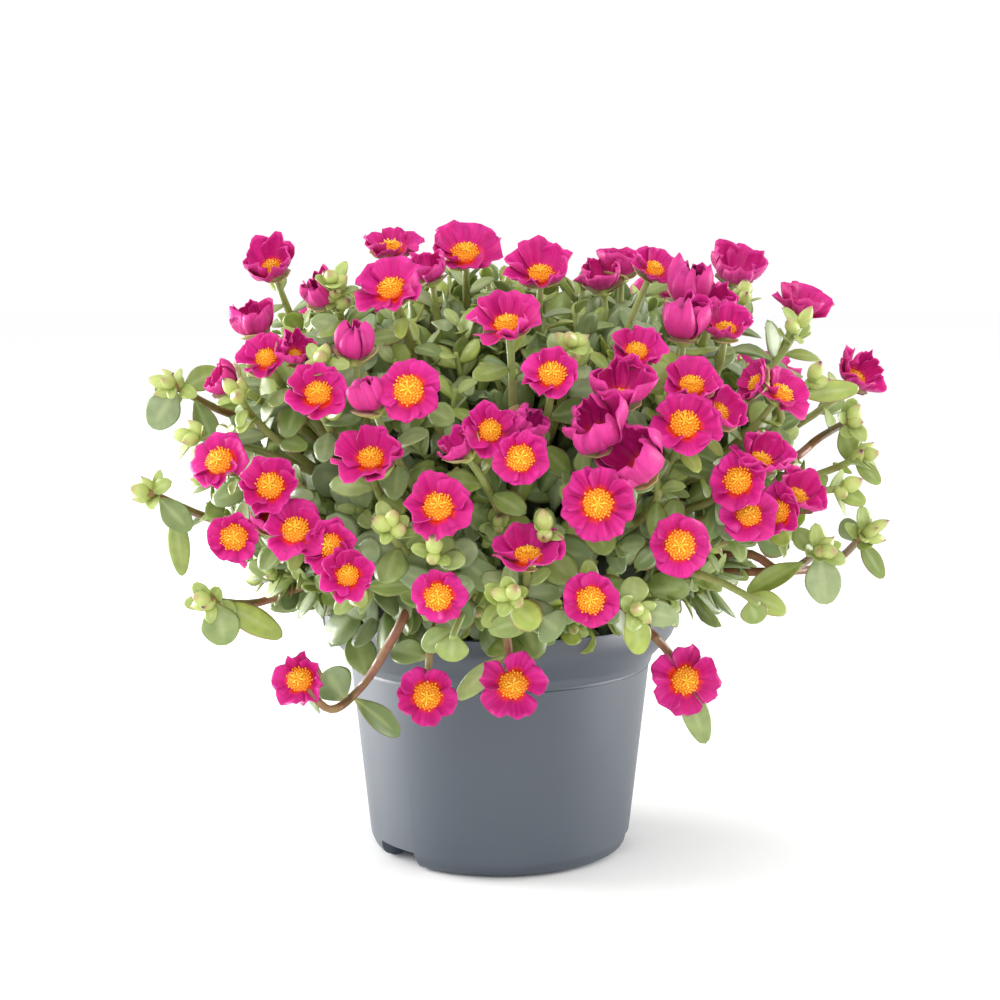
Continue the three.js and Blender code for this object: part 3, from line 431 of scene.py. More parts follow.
def petalTissue():
    # A petal a few cells thick: saturated magenta with a silky sheen, fine veins along it that also carry
    # painted shade in its creases, a painted highlight lighter towards the tip, darker clouds of painted
    # shade, a red throat inside and a paler, yellow-footed outside.
    material, tree, shader = startMaterial("petal_tissue")
    reach, across, side, tint = readTone(tree)
    fan = addNode(tree, "ShaderNodeCombineXYZ", {0: across, 1: tint}).outputs[0]
    veinsAndCreaseShade = noisy(tree, fan, 9, 4)
    # painted highlight: lighter pink towards the tip, standing for light on the rims as well as the petal's
    # paler edge
    tip = ranged(tree, reach, 0.5, 1, 0, 0.55)
    # darker lines along the petal: its veins, and painted shade in its creases
    line = ranged(tree, veinsAndCreaseShade, 0.36, 0.62, 0.55, 0)
    # painted shade: darker clouds laid at random that stand for the shade in the petals' folds
    cloud = ranged(tree, noisy(tree, objectPlace(tree), every(6), 3), 0.45, 0.7, 0, 0.4)
    flesh = layered(
        tree, "#BA0867", (tint, "#CC1A85"), (tip, "#DE3E9E"), (line, "#A80A66"), (cloud, "#98085C"),
    )
    inside = layered(tree, flesh, (ranged(tree, reach, 0.5, 0.34), "#E0380E"))
    outside = layered(tree, flesh, (0.12, "#E874AE"), (ranged(tree, reach, 0.4, 0.1), "#F0C46A"))
    setSockets(
        tree, shader, baseColour=layered(tree, inside, (side, outside)), roughness=0.5,
        normal=bumped(tree, veinsAndCreaseShade, 0.8, 0.8), specular=0.18,
        sheen=0.14, sheenRoughness=0.4, sheenTint=colour("#FFB0DC"),
        under=0.12, underRadius=(1.0, 0.25, 0.5), underScale=1.0 * mm,
    )
    return material


def pollenYellow():
    # Filaments and anthers: orange at the foot, and dusty yellow with pollen.
    material, tree, shader = startMaterial("pollen_yellow")
    reach, _, _, dust = readTone(tree)
    setSockets(
        tree, shader, baseColour=layered(tree, "#DE4A0A", (reach, "#F9B018"), (dust, "#FFC83C")),
        roughness=0.7, under=0.2, underRadius=(1.0, 0.6, 0.1), underScale=0.8 * mm,
    )
    return material


def budSkin():
    # The two sepals closed over a bud: yellow-green and waxy, pink to plum at the tip.
    material, tree, shader = startMaterial("bud_skin")
    reach, across, tint, _ = readTone(tree)
    patches = noisy(tree, objectPlace(tree), every(3), 3)
    blush = ranged(tree, reach, 0.7, 1, 0, 0.6)
    ripe = reckoned(tree, "MULTIPLY", ranged(tree, tint, 0.55, 0.8), ranged(tree, reach, 0.84, 0.95))
    seam = ranged(tree, across, 0.86, 1, 0, 0.5)
    base = layered(
        tree, "#BCC672", (patches, "#98A85A"), (blush, "#A8586A"), (ripe, "#5E2436"), (seam, "#B9A566"),
    )
    setSockets(
        tree, shader, baseColour=base, roughness=0.42, specular=0.45,
        under=0.15, underRadius=(0.8, 0.8, 0.3), underScale=1.5 * mm,
    )
    return material


# ---- meshes and pieces


def startShape():
    bm = bmesh.new()
    return bm, bm.verts.layers.float_color.new("tone")


def toMesh(bm, name):
    # a mesh with its faces turned outwards
    bmesh.ops.recalc_face_normals(bm, faces=bm.faces)
    mesh = bpy.data.meshes.new(name)
    bm.to_mesh(mesh)
    bm.free()
    return mesh


def addObject(name, mesh):
    thing = bpy.data.objects.new(name, mesh)
    bpy.context.scene.collection.objects.link(thing)
    return thing


def movedVerts(made):
    return [part for part in made["geom"] if isinstance(part, bmesh.types.BMVert)]


def thicken(bm):
    # a flat grid becomes a closed slab one unit thick
    made = bmesh.ops.extrude_face_region(bm, geom=bm.faces[:])
    bmesh.ops.translate(bm, vec=upright, verts=movedVerts(made))


def addMesh(bm, mesh, look):
    # a passing mesh goes into a piece, in one of the piece's looks
    mesh.polygons.foreach_set("material_index", [look] * len(mesh.polygons))
    bm.from_mesh(mesh)
    bpy.data.meshes.remove(mesh)


def addCopy(bm, template, pose, tint, age, look):
    # one copy of a template, with its own tint and age
    mesh = template.copy()
    mesh.transform(pose)
    count = len(mesh.vertices)
    tones = [0.0] * (4 * count)
    mesh.attributes["tone"].data.foreach_get("color", tones)
    if tint is not None:
        tones[2::4] = [tint] * count
    if age is not None:
        tones[3::4] = [age] * count
    mesh.attributes["tone"].data.foreach_set("color", tones)
    addMesh(bm, mesh, look)


def addBent(bm, slab, pose, bend, look):
    # a copy of the slab, each vertex of which goes where bend puts it
    mesh = slab.copy()
    tone = mesh.attributes.new("tone", "FLOAT_COLOR", "POINT")
    tones = []
    for vert in mesh.vertices:
        vert.co, kept = bend(*vert.co)
        tones += kept
    tone.data.foreach_set("color", tones)
    mesh.transform(pose)
    addMesh(bm, mesh, look)


def finish(piece, looks, node):
    # from millimetres to metres, with its looks and its node
    mesh = piece.data
    mesh.transform(Matrix.Scale(mm, 4))
    for look in looks:
        mesh.materials.append(look)
    mesh.shade_smooth()
    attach(piece, "root")
    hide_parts(node)


def finishGrown(name, bm, looks, node):
    mesh = bpy.data.meshes.new(name)
    bm.to_mesh(mesh)
    bm.free()
    finish(addObject(name, mesh), looks, node)


# ---- shapes that repeat: each is modelled once, then copied, turned and tinted

leafShape = {"around": 8, "rings": 7, "half": 0.28, "skew": 1.2, "thick": 0.045, "bunch": 1.3,
             "full": 0.55, "stalk": 0.025, "fine": (12, 14), "coarse": (6, 6)}
leafStyles = [
    {"arch": 0.08, "cup": 0.08, "twist": 0.0, "half": 1.0},
    {"arch": 0.16, "cup": 0.04, "twist": 0.15, "half": 0.9},
    {"arch": -0.06, "cup": 0.12, "twist": -0.1, "half": 1.12},
    {"arch": 0.24, "cup": 0.08, "twist": 0.12, "half": 0.84},
    {"arch": 0.03, "cup": -0.05, "twist": -0.2, "half": 1.2},
    {"arch": 0.12, "cup": 0.12, "twist": 0.05, "half": 0.7},
]


def drawnSphere(name, around, rings, bend):
    # a sphere drawn out one unit long: bend places each vertex by its share of
    # the way down from the tip, and by its way from the axis
    bm, tone = startShape()
    bmesh.ops.create_uvsphere(bm, u_segments=around, v_segments=rings, radius=1)
    for vert in bm.verts:
        x, y, z = vert.co
        ring = math.hypot(x, y)
        cos, sin = (x / ring, y / ring) if ring > 1e-5 else (0, 0)
        vert.co, vert[tone] = bend(math.acos(clamp(z, -1, 1)) / math.pi, cos, sin)
    return toMesh(bm, name)


def leafTemplate(style, around, rings):
    # a spoon-shaped blade along Y, its face up
    def bend(down, sideways, lift):
        along = 1 - down ** leafShape["bunch"]
        outline = max(0, math.sin(math.pi * along ** leafShape["skew"])) ** (1 - leafShape["full"] * along)
        stalk = leafShape["stalk"] * math.sin(math.pi * along)
        thick = leafShape["thick"] * math.sin(math.pi * along) ** 0.5 * (1.2 - 0.5 * along)
        width = sideways * (leafShape["half"] * style["half"] * outline + stalk)
        dish = style["cup"] * (sideways * outline) ** 2 - style["arch"] * along ** 2
        height = lift * thick + dish
        turn = style["twist"] * along
        spot = (
            width * math.cos(turn) - height * math.sin(turn),
            along,
            width * math.sin(turn) + height * math.cos(turn),
        )
        return spot, (along, max(abs(sideways), clamp(2 * along - 1) ** 4), 0, 0)

    return drawnSphere("leaf", around, rings, bend)


budShape = {"around": 10, "rings": 9, "half": 0.34, "flat": 0.92, "low": 0.82, "blunt": 0.62,
            "keel": 0.08, "seam": 0.06}


def budTemplate(pointed):
    # two sepals closed over an ovoid bud along Z, with a keel on each
    def bend(down, cos, sin):
        along = 1 - down
        belly = math.sin(math.pi * along ** budShape["low"]) ** (budShape["blunt"] + pointed * along ** 2)
        edges = 1 + budShape["keel"] * abs(cos) ** 3 - budShape["seam"] * abs(sin) ** 8
        half = budShape["half"] * belly * edges
        return (half * cos * budShape["flat"], half * sin, along), (along, abs(sin) ** 3, 0, 0)

    return drawnSphere("bud", budShape["around"], budShape["rings"], bend)


eyeShape = {
    "radius": 5.6, "height": 4.2, "rim": 0.3, "boss": 0.97, "swell": 0.48, "seeds": 4,
    "stamens": 84, "thread": (0.26, 0.18), "foot": (0.72, 1.5), "droop": 0.32, "anther": (0.42, 0.42, 0.62),
    "styles": 6, "arm": (0.24, 0.3), "armFoot": 0.95, "armReach": (0.42, 0.6), "armTip": 1.32,
}


def addRod(bm, foot, tip, ends, sides, capped):
    way = tip - foot
    pose = placedFrame(way.normalized(), 0, (foot + tip) / 2)
    return bmesh.ops.create_cone(bm, segments=sides, cap_ends=capped, radius1=ends[0], radius2=ends[1],
                                 depth=way.length, matrix=pose)["verts"]


def stamenTemplate(seed):
    # the eye of a bloom: a low boss thick with filaments, each with its anther,
    # and a star of styles above them
    bm, tone = startShape()
    radius, high = eyeShape["radius"], eyeShape["height"]
    for vert in bmesh.ops.create_uvsphere(bm, u_segments=18, v_segments=8, radius=1)["verts"]:
        x, y, z = vert.co
        wide = radius * eyeShape["boss"]
        vert.co = (x * wide, y * wide, high * (eyeShape["rim"] + eyeShape["swell"] * z))
        vert[tone] = (0.85 * (1 - math.hypot(x, y) ** 3), 0, 0, 0)
    for i in range(eyeShape["stamens"]):
        share = math.sqrt((i + 0.5) / eyeShape["stamens"])
        out = ringPoint(1, math.radians(goldenTurn * i + 40 * seed))
        tall = high * spread(i, 81 + seed, 0.86, 1.06) * (1 - eyeShape["droop"] * share ** 2)
        foot = out * share * radius * eyeShape["foot"][0] + upright * eyeShape["foot"][1]
        tip = out * share * radius * spread(i, 80 + seed, 0.9, 1.03) + upright * tall
        for vert in addRod(bm, foot, tip, eyeShape["thread"], 3, False):
            vert[tone] = (0.9 if (vert.co - tip).length < 1 else 0.65, 0, 0, 0.1)
        lie = placedFrame((out + upright * spread(i, 82, 0.2, 2)).normalized(), i, tip)
        lie = lie @ Matrix.Diagonal((*eyeShape["anther"], 1))
        for vert in bmesh.ops.create_icosphere(bm, subdivisions=1, radius=1, matrix=lie)["verts"]:
            vert[tone] = (1 - 0.4 * share ** 4, 0, 0, spread(i, 83, 0, 0.45))
    for i in range(eyeShape["styles"]):
        turn = math.radians(360 * i / eyeShape["styles"] + 23 * seed + spread(i, 84 + seed, -14, 14))
        reach = radius * spread(i, 85 + seed, *eyeShape["armReach"])
        tip = ringPoint(reach, turn, high * eyeShape["armTip"])
        for vert in addRod(bm, upright * high * eyeShape["armFoot"], tip, eyeShape["arm"], 5, True):
            vert[tone] = (1, 0, 0, 1)
    return toMesh(bm, "stamens")


petalFaces = (10, 8)
sepalFaces = (5, 4)


def slabTemplate(faces):
    # a closed slab in petal numbers: x runs across from -1 to 1, y along from 0
    # to 1, and z is 0 on the inside and 1 on the outside
    bm = bmesh.new()
    bmesh.ops.create_grid(bm, x_segments=faces[0], y_segments=faces[1], size=1)
    for vert in bm.verts:
        vert.co.y = 0.5 + 0.5 * vert.co.y
    thicken(bm)
    return toMesh(bm, "slab")


# ---- pot

pot = {
    "segments": 144, "height": 104, "footRadius": 49, "footInset": 45, "cornerRadius": 55.5,
    "cornerHeight": 6, "neckRadius": 63.8, "neckHeight": 81.5, "bandRadius": 65.2, "bandHeight": 85,
    "rimRadius": 74.5, "flareHeight": 95, "flare": 0.5, "wall": 1.4, "floorRise": 3.5,
    "groove": 0.5, "grooveHeight": 1.3, "ledge": (0.7, 0.3),
    "notchDepth": 11, "notchHeight": 8, "notchTurns": [(207, 230), (343, 366), (91, 114)],
    "notchSplay": 1.3, "cutPast": 14, "cutBelow": 2, "crease": 32,
    "drainRadius": 3, "drainRing": 26, "drains": 4, "drainSides": 24, "drainLong": 20,
}


def spunSolid(name, profile, segments):
    # a profile of (radius, height) points turned once round the pot's axis
    bm = bmesh.new()
    points = [bm.verts.new((radius, 0, height)) for radius, height in profile]
    edges = [bm.edges.new(pair) for pair in zip(points, points[1:])]
    bmesh.ops.spin(bm, geom=points + edges, cent=(0, 0, 0), axis=(0, 0, 1), dvec=(0, 0, 0),
                   angle=2 * math.pi, steps=segments, use_merge=True)
    bmesh.ops.remove_doubles(bm, verts=bm.verts, dist=1e-4)
    return addObject(name, toMesh(bm, name))


def roundedProfile(points, radii, steps=3):
    # the same profile with its corners rounded by small arcs
    rounded = []
    for i, (x, y) in enumerate(points):
        radius = radii.get(i, 0)
        if not radius:
            rounded.append((x, y))
            continue
        here = Vector((x, y))
        before = (Vector(points[i - 1]) - here).normalized() * radius
        after = (Vector(points[i + 1]) - here).normalized() * radius
        for step in range(steps + 1):
            t = step / steps
            spot = (here + before) * (1 - t) ** 2 + here * 2 * t * (1 - t) + (here + after) * t ** 2
            rounded.append(tuple(spot))
    return rounded


def wedge(turns, extra):
    # a block that takes one notch out of the foot, so much larger all round
    inner = pot["cornerRadius"] - pot["notchDepth"] - extra
    outer = pot["cornerRadius"] + pot["cutPast"]
    top = pot["notchHeight"] + extra
    margin = math.degrees(extra / pot["cornerRadius"])
    start, end = math.radians(turns[0] - margin), math.radians(turns[1] + margin)
    middle = (start + end) / 2
    bm = bmesh.new()
    corners = [(inner, start), (outer, start), (outer, middle), (outer, end), (inner, end)]
    face = bm.faces.new([bm.verts.new(ringPoint(radius, turn, top)) for radius, turn in corners])
    lowered = movedVerts(bmesh.ops.extrude_face_region(bm, geom=[face]))
    bmesh.ops.translate(bm, vec=(0, 0, -top - pot["cutBelow"]), verts=lowered)
    bmesh.ops.scale(bm, vec=(1, pot["notchSplay"], 1), verts=lowered, space=Matrix.Rotation(-middle, 4, "Z"))
    return addObject("wedge", toMesh(bm, "wedge"))


def drain(index):
    turn = math.radians(45 + 360 * index / pot["drains"])
    bm = bmesh.new()
    bmesh.ops.create_cone(bm, segments=pot["drainSides"], cap_ends=True, radius1=pot["drainRadius"],
                          radius2=pot["drainRadius"], depth=pot["drainLong"],
                          matrix=Matrix.Translation(ringPoint(pot["drainRing"], turn)))
    return addObject("drain", toMesh(bm, "drain"))


def cutWith(target, cutters):
    # takes the cutters out of the target, and out of the scene
    for cutter in cutters:
        cut = target.modifiers.new("cut", "BOOLEAN")
        cut.operation = "DIFFERENCE"
        cut.solver = "EXACT"
        cut.object = cutter
    graph = bpy.context.evaluated_depsgraph_get()
    mesh = bpy.data.meshes.new_from_object(target.evaluated_get(graph))
    target.modifiers.clear()
    target.data = mesh
    for cutter in cutters:
        bpy.data.objects.remove(cutter)


def potHollow():
    wall = pot["wall"]
    floor = pot["floorRise"] + wall
    slope = (pot["neckRadius"] - pot["cornerRadius"]) / (pot["neckHeight"] - pot["cornerHeight"])
    risen = floor + 4
    top = pot["height"] + 1
    return spunSolid("hollow", roundedProfile([
        (0, floor),
        (pot["cornerRadius"] - wall - 3, floor),
        (pot["cornerRadius"] + slope * (risen - pot["cornerHeight"]) - wall, risen),
        (pot["neckRadius"] - wall, pot["neckHeight"] + wall),
        (pot["bandRadius"] - wall, pot["bandHeight"] + wall),
        (pot["rimRadius"] - wall, pot["flareHeight"] + wall),
        (pot["rimRadius"] + pot["flare"] - wall, top),
        (0, top),
    ], {2: 2, 4: 1.5, 5: 3}), pot["segments"])


def buildPot(look):
    groove = pot["neckRadius"] - pot["groove"]
    outer = spunSolid("nursery_pot", roundedProfile([
        (0, pot["floorRise"]),
        (pot["footInset"], pot["floorRise"]),
        (pot["footInset"] + 1, 0),
        (pot["footRadius"], 0),
        (pot["footRadius"] + 4.5, 2),
        (pot["cornerRadius"], pot["cornerHeight"]),
        (pot["neckRadius"] - 0.2, pot["neckHeight"] - pot["grooveHeight"]),
        (groove, pot["neckHeight"] - pot["grooveHeight"] + 0.4),
        (groove, pot["neckHeight"]),
        (pot["neckRadius"] + pot["ledge"][0], pot["neckHeight"] + pot["ledge"][1]),
        (pot["bandRadius"], pot["bandHeight"]),
        (pot["rimRadius"], pot["flareHeight"]),
        (pot["rimRadius"] + pot["flare"], pot["height"]),
        (0, pot["height"]),
    ], {3: 0.6, 4: 1.5, 5: 1.0, 9: 0.3, 10: 1.2, 11: 3.5, 12: 0.6}), pot["segments"])
    hollow = potHollow()
    cutWith(hollow, [wedge(turns, pot["wall"]) for turns in pot["notchTurns"]])
    notches = [wedge(turns, 0) for turns in pot["notchTurns"]]
    cutWith(outer, notches + [hollow] + [drain(i) for i in range(pot["drains"])])
    outer.data.materials.clear()
    finish(outer, [look], "pot")
    outer.data.set_sharp_from_angle(angle=math.radians(pot["crease"]))


# ---- soil

soil = {"top": 93, "crown": 95.5, "radius": 70.5, "gap": 0.3, "deep": 4, "foot": 8, "lumps": 1.6,
        "skin": 3, "coarse": 3.5, "fine": 1.6, "fineShare": 0.6, "calm": (70, 4), "segments": 96, "rings": 26}


def buildSoil(look):
    # the pot's filling: a crumbly top on a body that follows the hollow
    inset = pot["wall"] + soil["gap"]
    floor = pot["floorRise"] + inset + soil["deep"]
    radii = [i * soil["radius"] / soil["rings"] for i in range(soil["rings"] + 1)]
    top = [(radius, between(soil["crown"], soil["top"], (radius / pot["rimRadius"]) ** 2))
           for radius in radii]
    body = spunSolid("pot_filling", top + [
        (pot["bandRadius"] - inset, pot["bandHeight"] + inset),
        (pot["neckRadius"] - inset, pot["neckHeight"] + inset),
        (pot["cornerRadius"] - inset - soil["foot"], floor),
        (0, floor),
    ], soil["segments"])
    for vert in body.data.vertices:
        if vert.co.z > soil["top"] - soil["skin"]:
            crumb = noise.noise(vert.co / soil["coarse"])
            crumb += soil["fineShare"] * noise.noise(vert.co / soil["fine"])
            edge = clamp((soil["calm"][0] - math.hypot(vert.co.x, vert.co.y)) / soil["calm"][1])
            vert.co.z += soil["lumps"] * crumb * edge
    finish(body, [look], "soil")


# ---- blooms

petal = {
    "thick": 0.3, "calyx": 1, "from": 0.06, "usual": 27, "start": (88, 78), "end": (-64, 82),
    "opens": 1.2, "shuts": 2, "shutBelow": 0.6, "crumples": 0.7, "inward": (17, 106.25),
    "aside": 0.13, "overlap": 1.42, "closedOverlap": 0.4, "lap": 1.52, "stray": (24, 9), "sag": (2, 20),
    "long": (0.9, 1.02), "shorter": 0.3, "corner": 0.22, "notch": (0.0, 0.09), "notchHalf": 0.35,
    "edge": 0.02, "ruffle": (0.64, 1.92), "closedRuffle": 3.52, "waves": (1.3, 2.6), "fold": 1.9,
    "closedFold": 2.5, "crease": 0.5, "cup": 1.2, "curl": (-2.0, 1.6), "throat": 0.4, "pastEye": 0.04,
}


def petalArc(isOpen):
    # a petal leaves the calyx at one angle from the bloom's axis and ends at another
    opened = isOpen ** (petal["opens"] + petal["shuts"] * max(0, petal["shutBelow"] - isOpen))
    start, end = (math.radians(between(*pair, opened)) for pair in (petal["start"], petal["end"]))
    widest = (math.cos(start) - math.cos(max(end, 0))) / (end - start)
    return start, end, widest


def arcPoint(bloom, share, outside, lift=0):
    # a place on that arc, and so far outside it; lift spreads the petal further
    start, end = bloom["start"], bloom["end"] + lift
    bent = end - start if abs(end - start) > 1e-3 else 1e-3
    angle = start + bent * share
    scale = bloom["petalLength"] / bent
    radius = scale * (math.cos(start) - math.cos(angle)) + outside * math.cos(angle)
    height = scale * (math.sin(angle) - math.sin(start)) - outside * math.sin(angle) + petal["calyx"]
    return max(0.3, radius), height


def makeBloom(centre, aim, wide, isOpen, petals, key):
    start, end, widest = petalArc(isOpen)
    bloom = {"centre": centre, "aim": aim, "wide": wide, "open": isOpen, "petals": petals,
             "key": key, "start": start, "end": end, "petalLength": wide / 2 / widest}
    bloom["roll"] = spread(key, 1, 0, 2 * math.pi)
    bloom["base"] = centre - aim * (0.5 * arcPoint(bloom, 1, 0)[1])
    return bloom


def backPair(pair):
    # two blooms side by side on the back of the plant
    share = (0.5 + pair) / backPairs["count"]
    height = between(backPairs["high"], backPairs["low"], share ** backPairs["thins"])
    turn = between(backPairs["first"], backPairs["last"], (0.18 + pair * 0.618) % 1)
    middle = domePoint(turn, height, backPairs["reach"])
    middle.y *= backPairs["further"]
    aim = domeOutward(middle)
    across = upright.cross(aim).normalized()
    slant = spread(pair, 7, -backPairs["tip"], backPairs["tip"])
    across = (across + aim.cross(across) * slant).normalized()
    for twin, half in enumerate((-0.5, 0.5)):
        key = len(surveyedBlooms) + 2 * pair + twin
        place = middle + across * half * backPairs["apart"]
        wide = backPairs["wide"] * spread(key, 2, *backPairs["vary"])
        lean = (aim + across * half * backPairs["part"]).normalized()
        petals = 6 if draw(key, 4) < backPairs["sixPetals"] else 5
        yield makeBloom(place, lean, wide, spread(key, 3, *backPairs["open"]), petals, key)


def allBlooms():
    blooms = []
    for key, (across, rise, wide, turn, tilt, isOpen, stand) in enumerate(surveyedBlooms):
        place = onDome(across, rise, stand)
        trueWide = wide * (place - eye).length / sight["sheet"]
        blooms.append(makeBloom(place, aimed(turn, tilt), trueWide, isOpen, petalCounts.get(key, 5), key))
    for pair in range(backPairs["count"]):
        blooms += backPair(pair)
    return blooms


def eyePlace(bloom):
    # the eye fills the bottom of the cup: its radius, and how far along the
    # petals its rim meets them
    shares = [i / 20 for i in range(1, 15)]
    radius = min(eyeShape["radius"], 0.245 * bloom["wide"], arcPoint(bloom, 0.5, 0)[0] + 0.3)
    radius *= 0.5 + 0.5 * clamp(1.35 * bloom["open"] - 0.2)
    share = next((share for share in shares if arcPoint(bloom, share, 0)[0] > radius - 0.4), shares[-1])
    return radius, share


def addPetal(bm, slab, bloom, pose, index):
    # one petal: heart-shaped, cupped, ruffled, and lapping its neighbour
    key = 20 * bloom["key"] + index
    size = bloom["wide"] / petal["usual"]
    closing = max(0, petal["crumples"] - bloom["open"])
    aside = spread(key, 94, -petal["aside"], petal["aside"])
    middle = 2 * math.pi * (index + aside) / bloom["petals"]
    lap = slimPetals.get(bloom["key"], petal["overlap"]) + petal["closedOverlap"] * (1 - bloom["open"])
    half = math.pi / bloom["petals"] * lap
    stray = between(*petal["stray"], bloom["open"])
    sag = spread(bloom["key"], 89, *petal["sag"]) * (pose.to_3x3() @ ringPoint(1, middle)).z
    inward = closing * spread(key, 86, *petal["inward"])
    lift = math.radians(spread(key, 90, -stray, stray) - sag - inward)
    shortest, longest = petal["long"]
    long = spread(key, 98, shortest - petal["shorter"] * closing, longest)
    notch = spread(key, 91, *petal["notch"])
    ruffle = (spread(key, 92, *petal["ruffle"]) + petal["closedRuffle"] * closing) * size
    folding = petal["fold"] * (1 + petal["closedFold"] * closing) * size
    waves = spread(key, 97, *petal["waves"])
    phase = spread(key, 93, 0, 6)
    curl = spread(key, 96, *petal["curl"]) * size
    tint = draw(key, 95)
    throat = clamp(eyePlace(bloom)[1] + petal["pastEye"], 0.15, 0.6)

    def bend(a, s, outer):
        limit = 1 - petal["corner"] * abs(a) ** 2.8 - notch * max(0, 1 - abs(a) / petal["notchHalf"])
        limit += petal["edge"] * math.sin(3.3 * math.pi * a + phase)
        share = petal["from"] + (1 - petal["from"]) * s * limit * long
        wave = math.sin(waves * math.pi * a + phase) + 0.35 * s * math.sin(5.3 * math.pi * a - phase)
        fold = noise.noise(Vector((2.6 * a, 1.4 * s, key))) + petal["crease"] * math.exp(-(6 * a) ** 2)
        outside = (outer * petal["thick"] - petal["lap"] * a * s + ruffle * s * s * wave
                   + folding * s * fold - petal["cup"] * size * s * a * a + curl * s ** 4)
        radius, height = arcPoint(bloom, share, outside, lift)
        # the red throat ends at the rim of the eye
        if s < throat:
            shown = s * petal["throat"] / throat
        else:
            shown = 1 - (1 - s) * (1 - petal["throat"]) / (1 - throat)
        return ringPoint(radius, middle + a * half, height), (shown, 0.5 + 0.5 * a, outer, tint)

    addBent(bm, slab, pose, bend, 0)


sepal = {"long": 8.5, "most": 0.75, "from": 0.02, "half": 1.25, "off": 1.2, "flare": 0.6, "thick": 0.7,
         "low": 0.3}
calyx = {"radius": 3.4, "high": 4.2, "sunk": 2.6}


def addSepal(bm, slab, bloom, pose, index):
    # one of the two green sepals that clasp the petals from below
    tint = draw(40 * bloom["key"] + index, 3)
    reach = min(sepal["most"], sepal["long"] / bloom["petalLength"])
    middle = bloom["roll"] + math.pi * index

    def bend(a, s, outer):
        share = sepal["from"] + reach * s * (1 - 0.5 * a * a)
        outside = sepal["off"] + sepal["flare"] * s + outer * sepal["thick"] * (1 - s * 0.5)
        radius, height = arcPoint(bloom, share, outside)
        spot = ringPoint(radius, middle + a * sepal["half"], height - sepal["low"])
        return spot, (0.35 + 0.6 * s, a * a, tint, 0)

    addBent(bm, slab, pose, bend, 2)


def addCalyx(bm, templates, bloom):
    # the green foot in which the petals and the sepals sit
    wide = calyx["radius"] / budShape["half"]
    pose = placedFrame(bloom["aim"], bloom["roll"], bloom["base"] - bloom["aim"] * calyx["sunk"])
    addCopy(bm, templates["calyx"], pose @ Matrix.Diagonal((wide, wide, calyx["high"], 1)), 0.5, 0, 2)


def addEye(bm, templates, bloom, pose):
    radius, share = eyePlace(bloom)
    size = radius / eyeShape["radius"]
    seat = arcPoint(bloom, share, 0)[1] - eyeShape["height"] * eyeShape["rim"] * size + 0.2
    lifted = Matrix.Translation((0, 0, seat)) @ Matrix.Scale(size, 4)
    addCopy(bm, templates["stamens"][bloom["key"] % eyeShape["seeds"]], pose @ lifted, None, None, 1)


def buildBloom(bm, templates, bloom):
    pose = placedFrame(bloom["aim"], bloom["roll"], bloom["base"])
    for index in range(bloom["petals"]):
        addPetal(bm, templates["petal"], bloom, pose, index)
    for index in range(2):
        addSepal(bm, templates["sepal"], bloom, pose, index)
    addCalyx(bm, templates, bloom)
    addEye(bm, templates, bloom, pose)


def buildHeads(templates, blooms, looks):
    # each head is one piece: blooms that press together, a pair on the back, or one alone
    paired = range(len(surveyedBlooms), len(blooms), 2)
    gathered = heads + [[key, key + 1] for key in paired]
    single = [[bloom["key"]] for bloom in blooms if not any(bloom["key"] in head for head in gathered)]
    for head in sorted(gathered + single):
        bm, _ = startShape()
        for key in head:
            buildBloom(bm, templates, blooms[key])
        number = f"{head[0] + 1:02d}"
        finishGrown(f"flower_head_{number}", bm, looks, f"bloom_{number}")


# ---- shoots, leaves and buds

clumps = {"count": 10, "ring": 31, "vary": (0.8, 1.1), "foot": 78, "top": 113, "trunk": (3.6, 3.2)}
stem = {
    "start": 2.6, "tip": 1.35, "sides": 8, "steps": 12, "sunk": 0.3, "fork": (98, 109), "ages": (1, 0.15),
    "early": (0.3, 0.12), "late": 0.32, "outer": (0.85, 1.1), "outerAges": (1.2, 0.75),
    "overRim": 17, "hangShare": 0.55, "hangSteps": 7, "bendShare": 0.45, "bendRise": 8, "bendSteps": 6,
}
bud = {"length": 9.5, "radius": 3.0, "lean": 1.0, "first": 0.3, "sunk": 1.0, "apart": 2.0, "leaf": 10,
       "leafDown": (2.5, 2), "leafTurn": 70, "leafAge": 0}


def clumpTurn(clump):
    return 360 * (clump + 0.5) / clumps["count"]


def clumpAt(point):
    turn = math.degrees(math.atan2(point.y, point.x)) % 360
    return int(turn * clumps["count"] / 360) % clumps["count"]


def rootPlace(clump):
    ring = clumps["ring"] * spread(clump, 11, *clumps["vary"])
    return ringPoint(ring, math.radians(clumpTurn(clump)), clumps["foot"])


def curvedPath(root, tip, aim, steps):
    # a stem sets out upwards and outwards and comes to its tip along its aim
    span = (tip - root).length
    flat = Vector((tip.x - root.x, tip.y - root.y, 0)).normalized()
    early = root + upright * stem["early"][0] * span + flat * stem["early"][1] * span
    late = tip - aim * stem["late"] * span
    return geometry.interpolate_bezier(root, early, late, tip, steps + 1)


def smoothPath(stops, steps):
    # a smooth line through its stops
    path = []
    for i in range(len(stops) - 1):
        before, after = stops[max(0, i - 1)], stops[min(len(stops) - 1, i + 2)]
        here, there = stops[i], stops[i + 1]
        early = here + (there - before) / 6
        late = there - (after - here) / 6
        path += geometry.interpolate_bezier(here, early, late, there, steps)[:-1]
    return path + [stops[-1]]


def shootPath(key, root, tip, aim):
    if key in hanging:
        # it climbs over the rim and passes its own points
        points = [onDome(*spot) for spot in hanging[key]]
        over = root.lerp(points[0], stem["hangShare"])
        over.z = pot["height"] + stem["overRim"]
        return smoothPath([root, over, *points, tip], stem["hangSteps"])
    if key in bends:
        # it rises inside the plant and then reaches out
        points = [sightPoint(*spot) for spot in bends[key]]
        inside = root.lerp(points[0], stem["bendShare"]) + upright * stem["bendRise"]
        return smoothPath([root, inside, *points, tip], stem["bendSteps"])
    return curvedPath(root, tip, aim, stem["steps"])


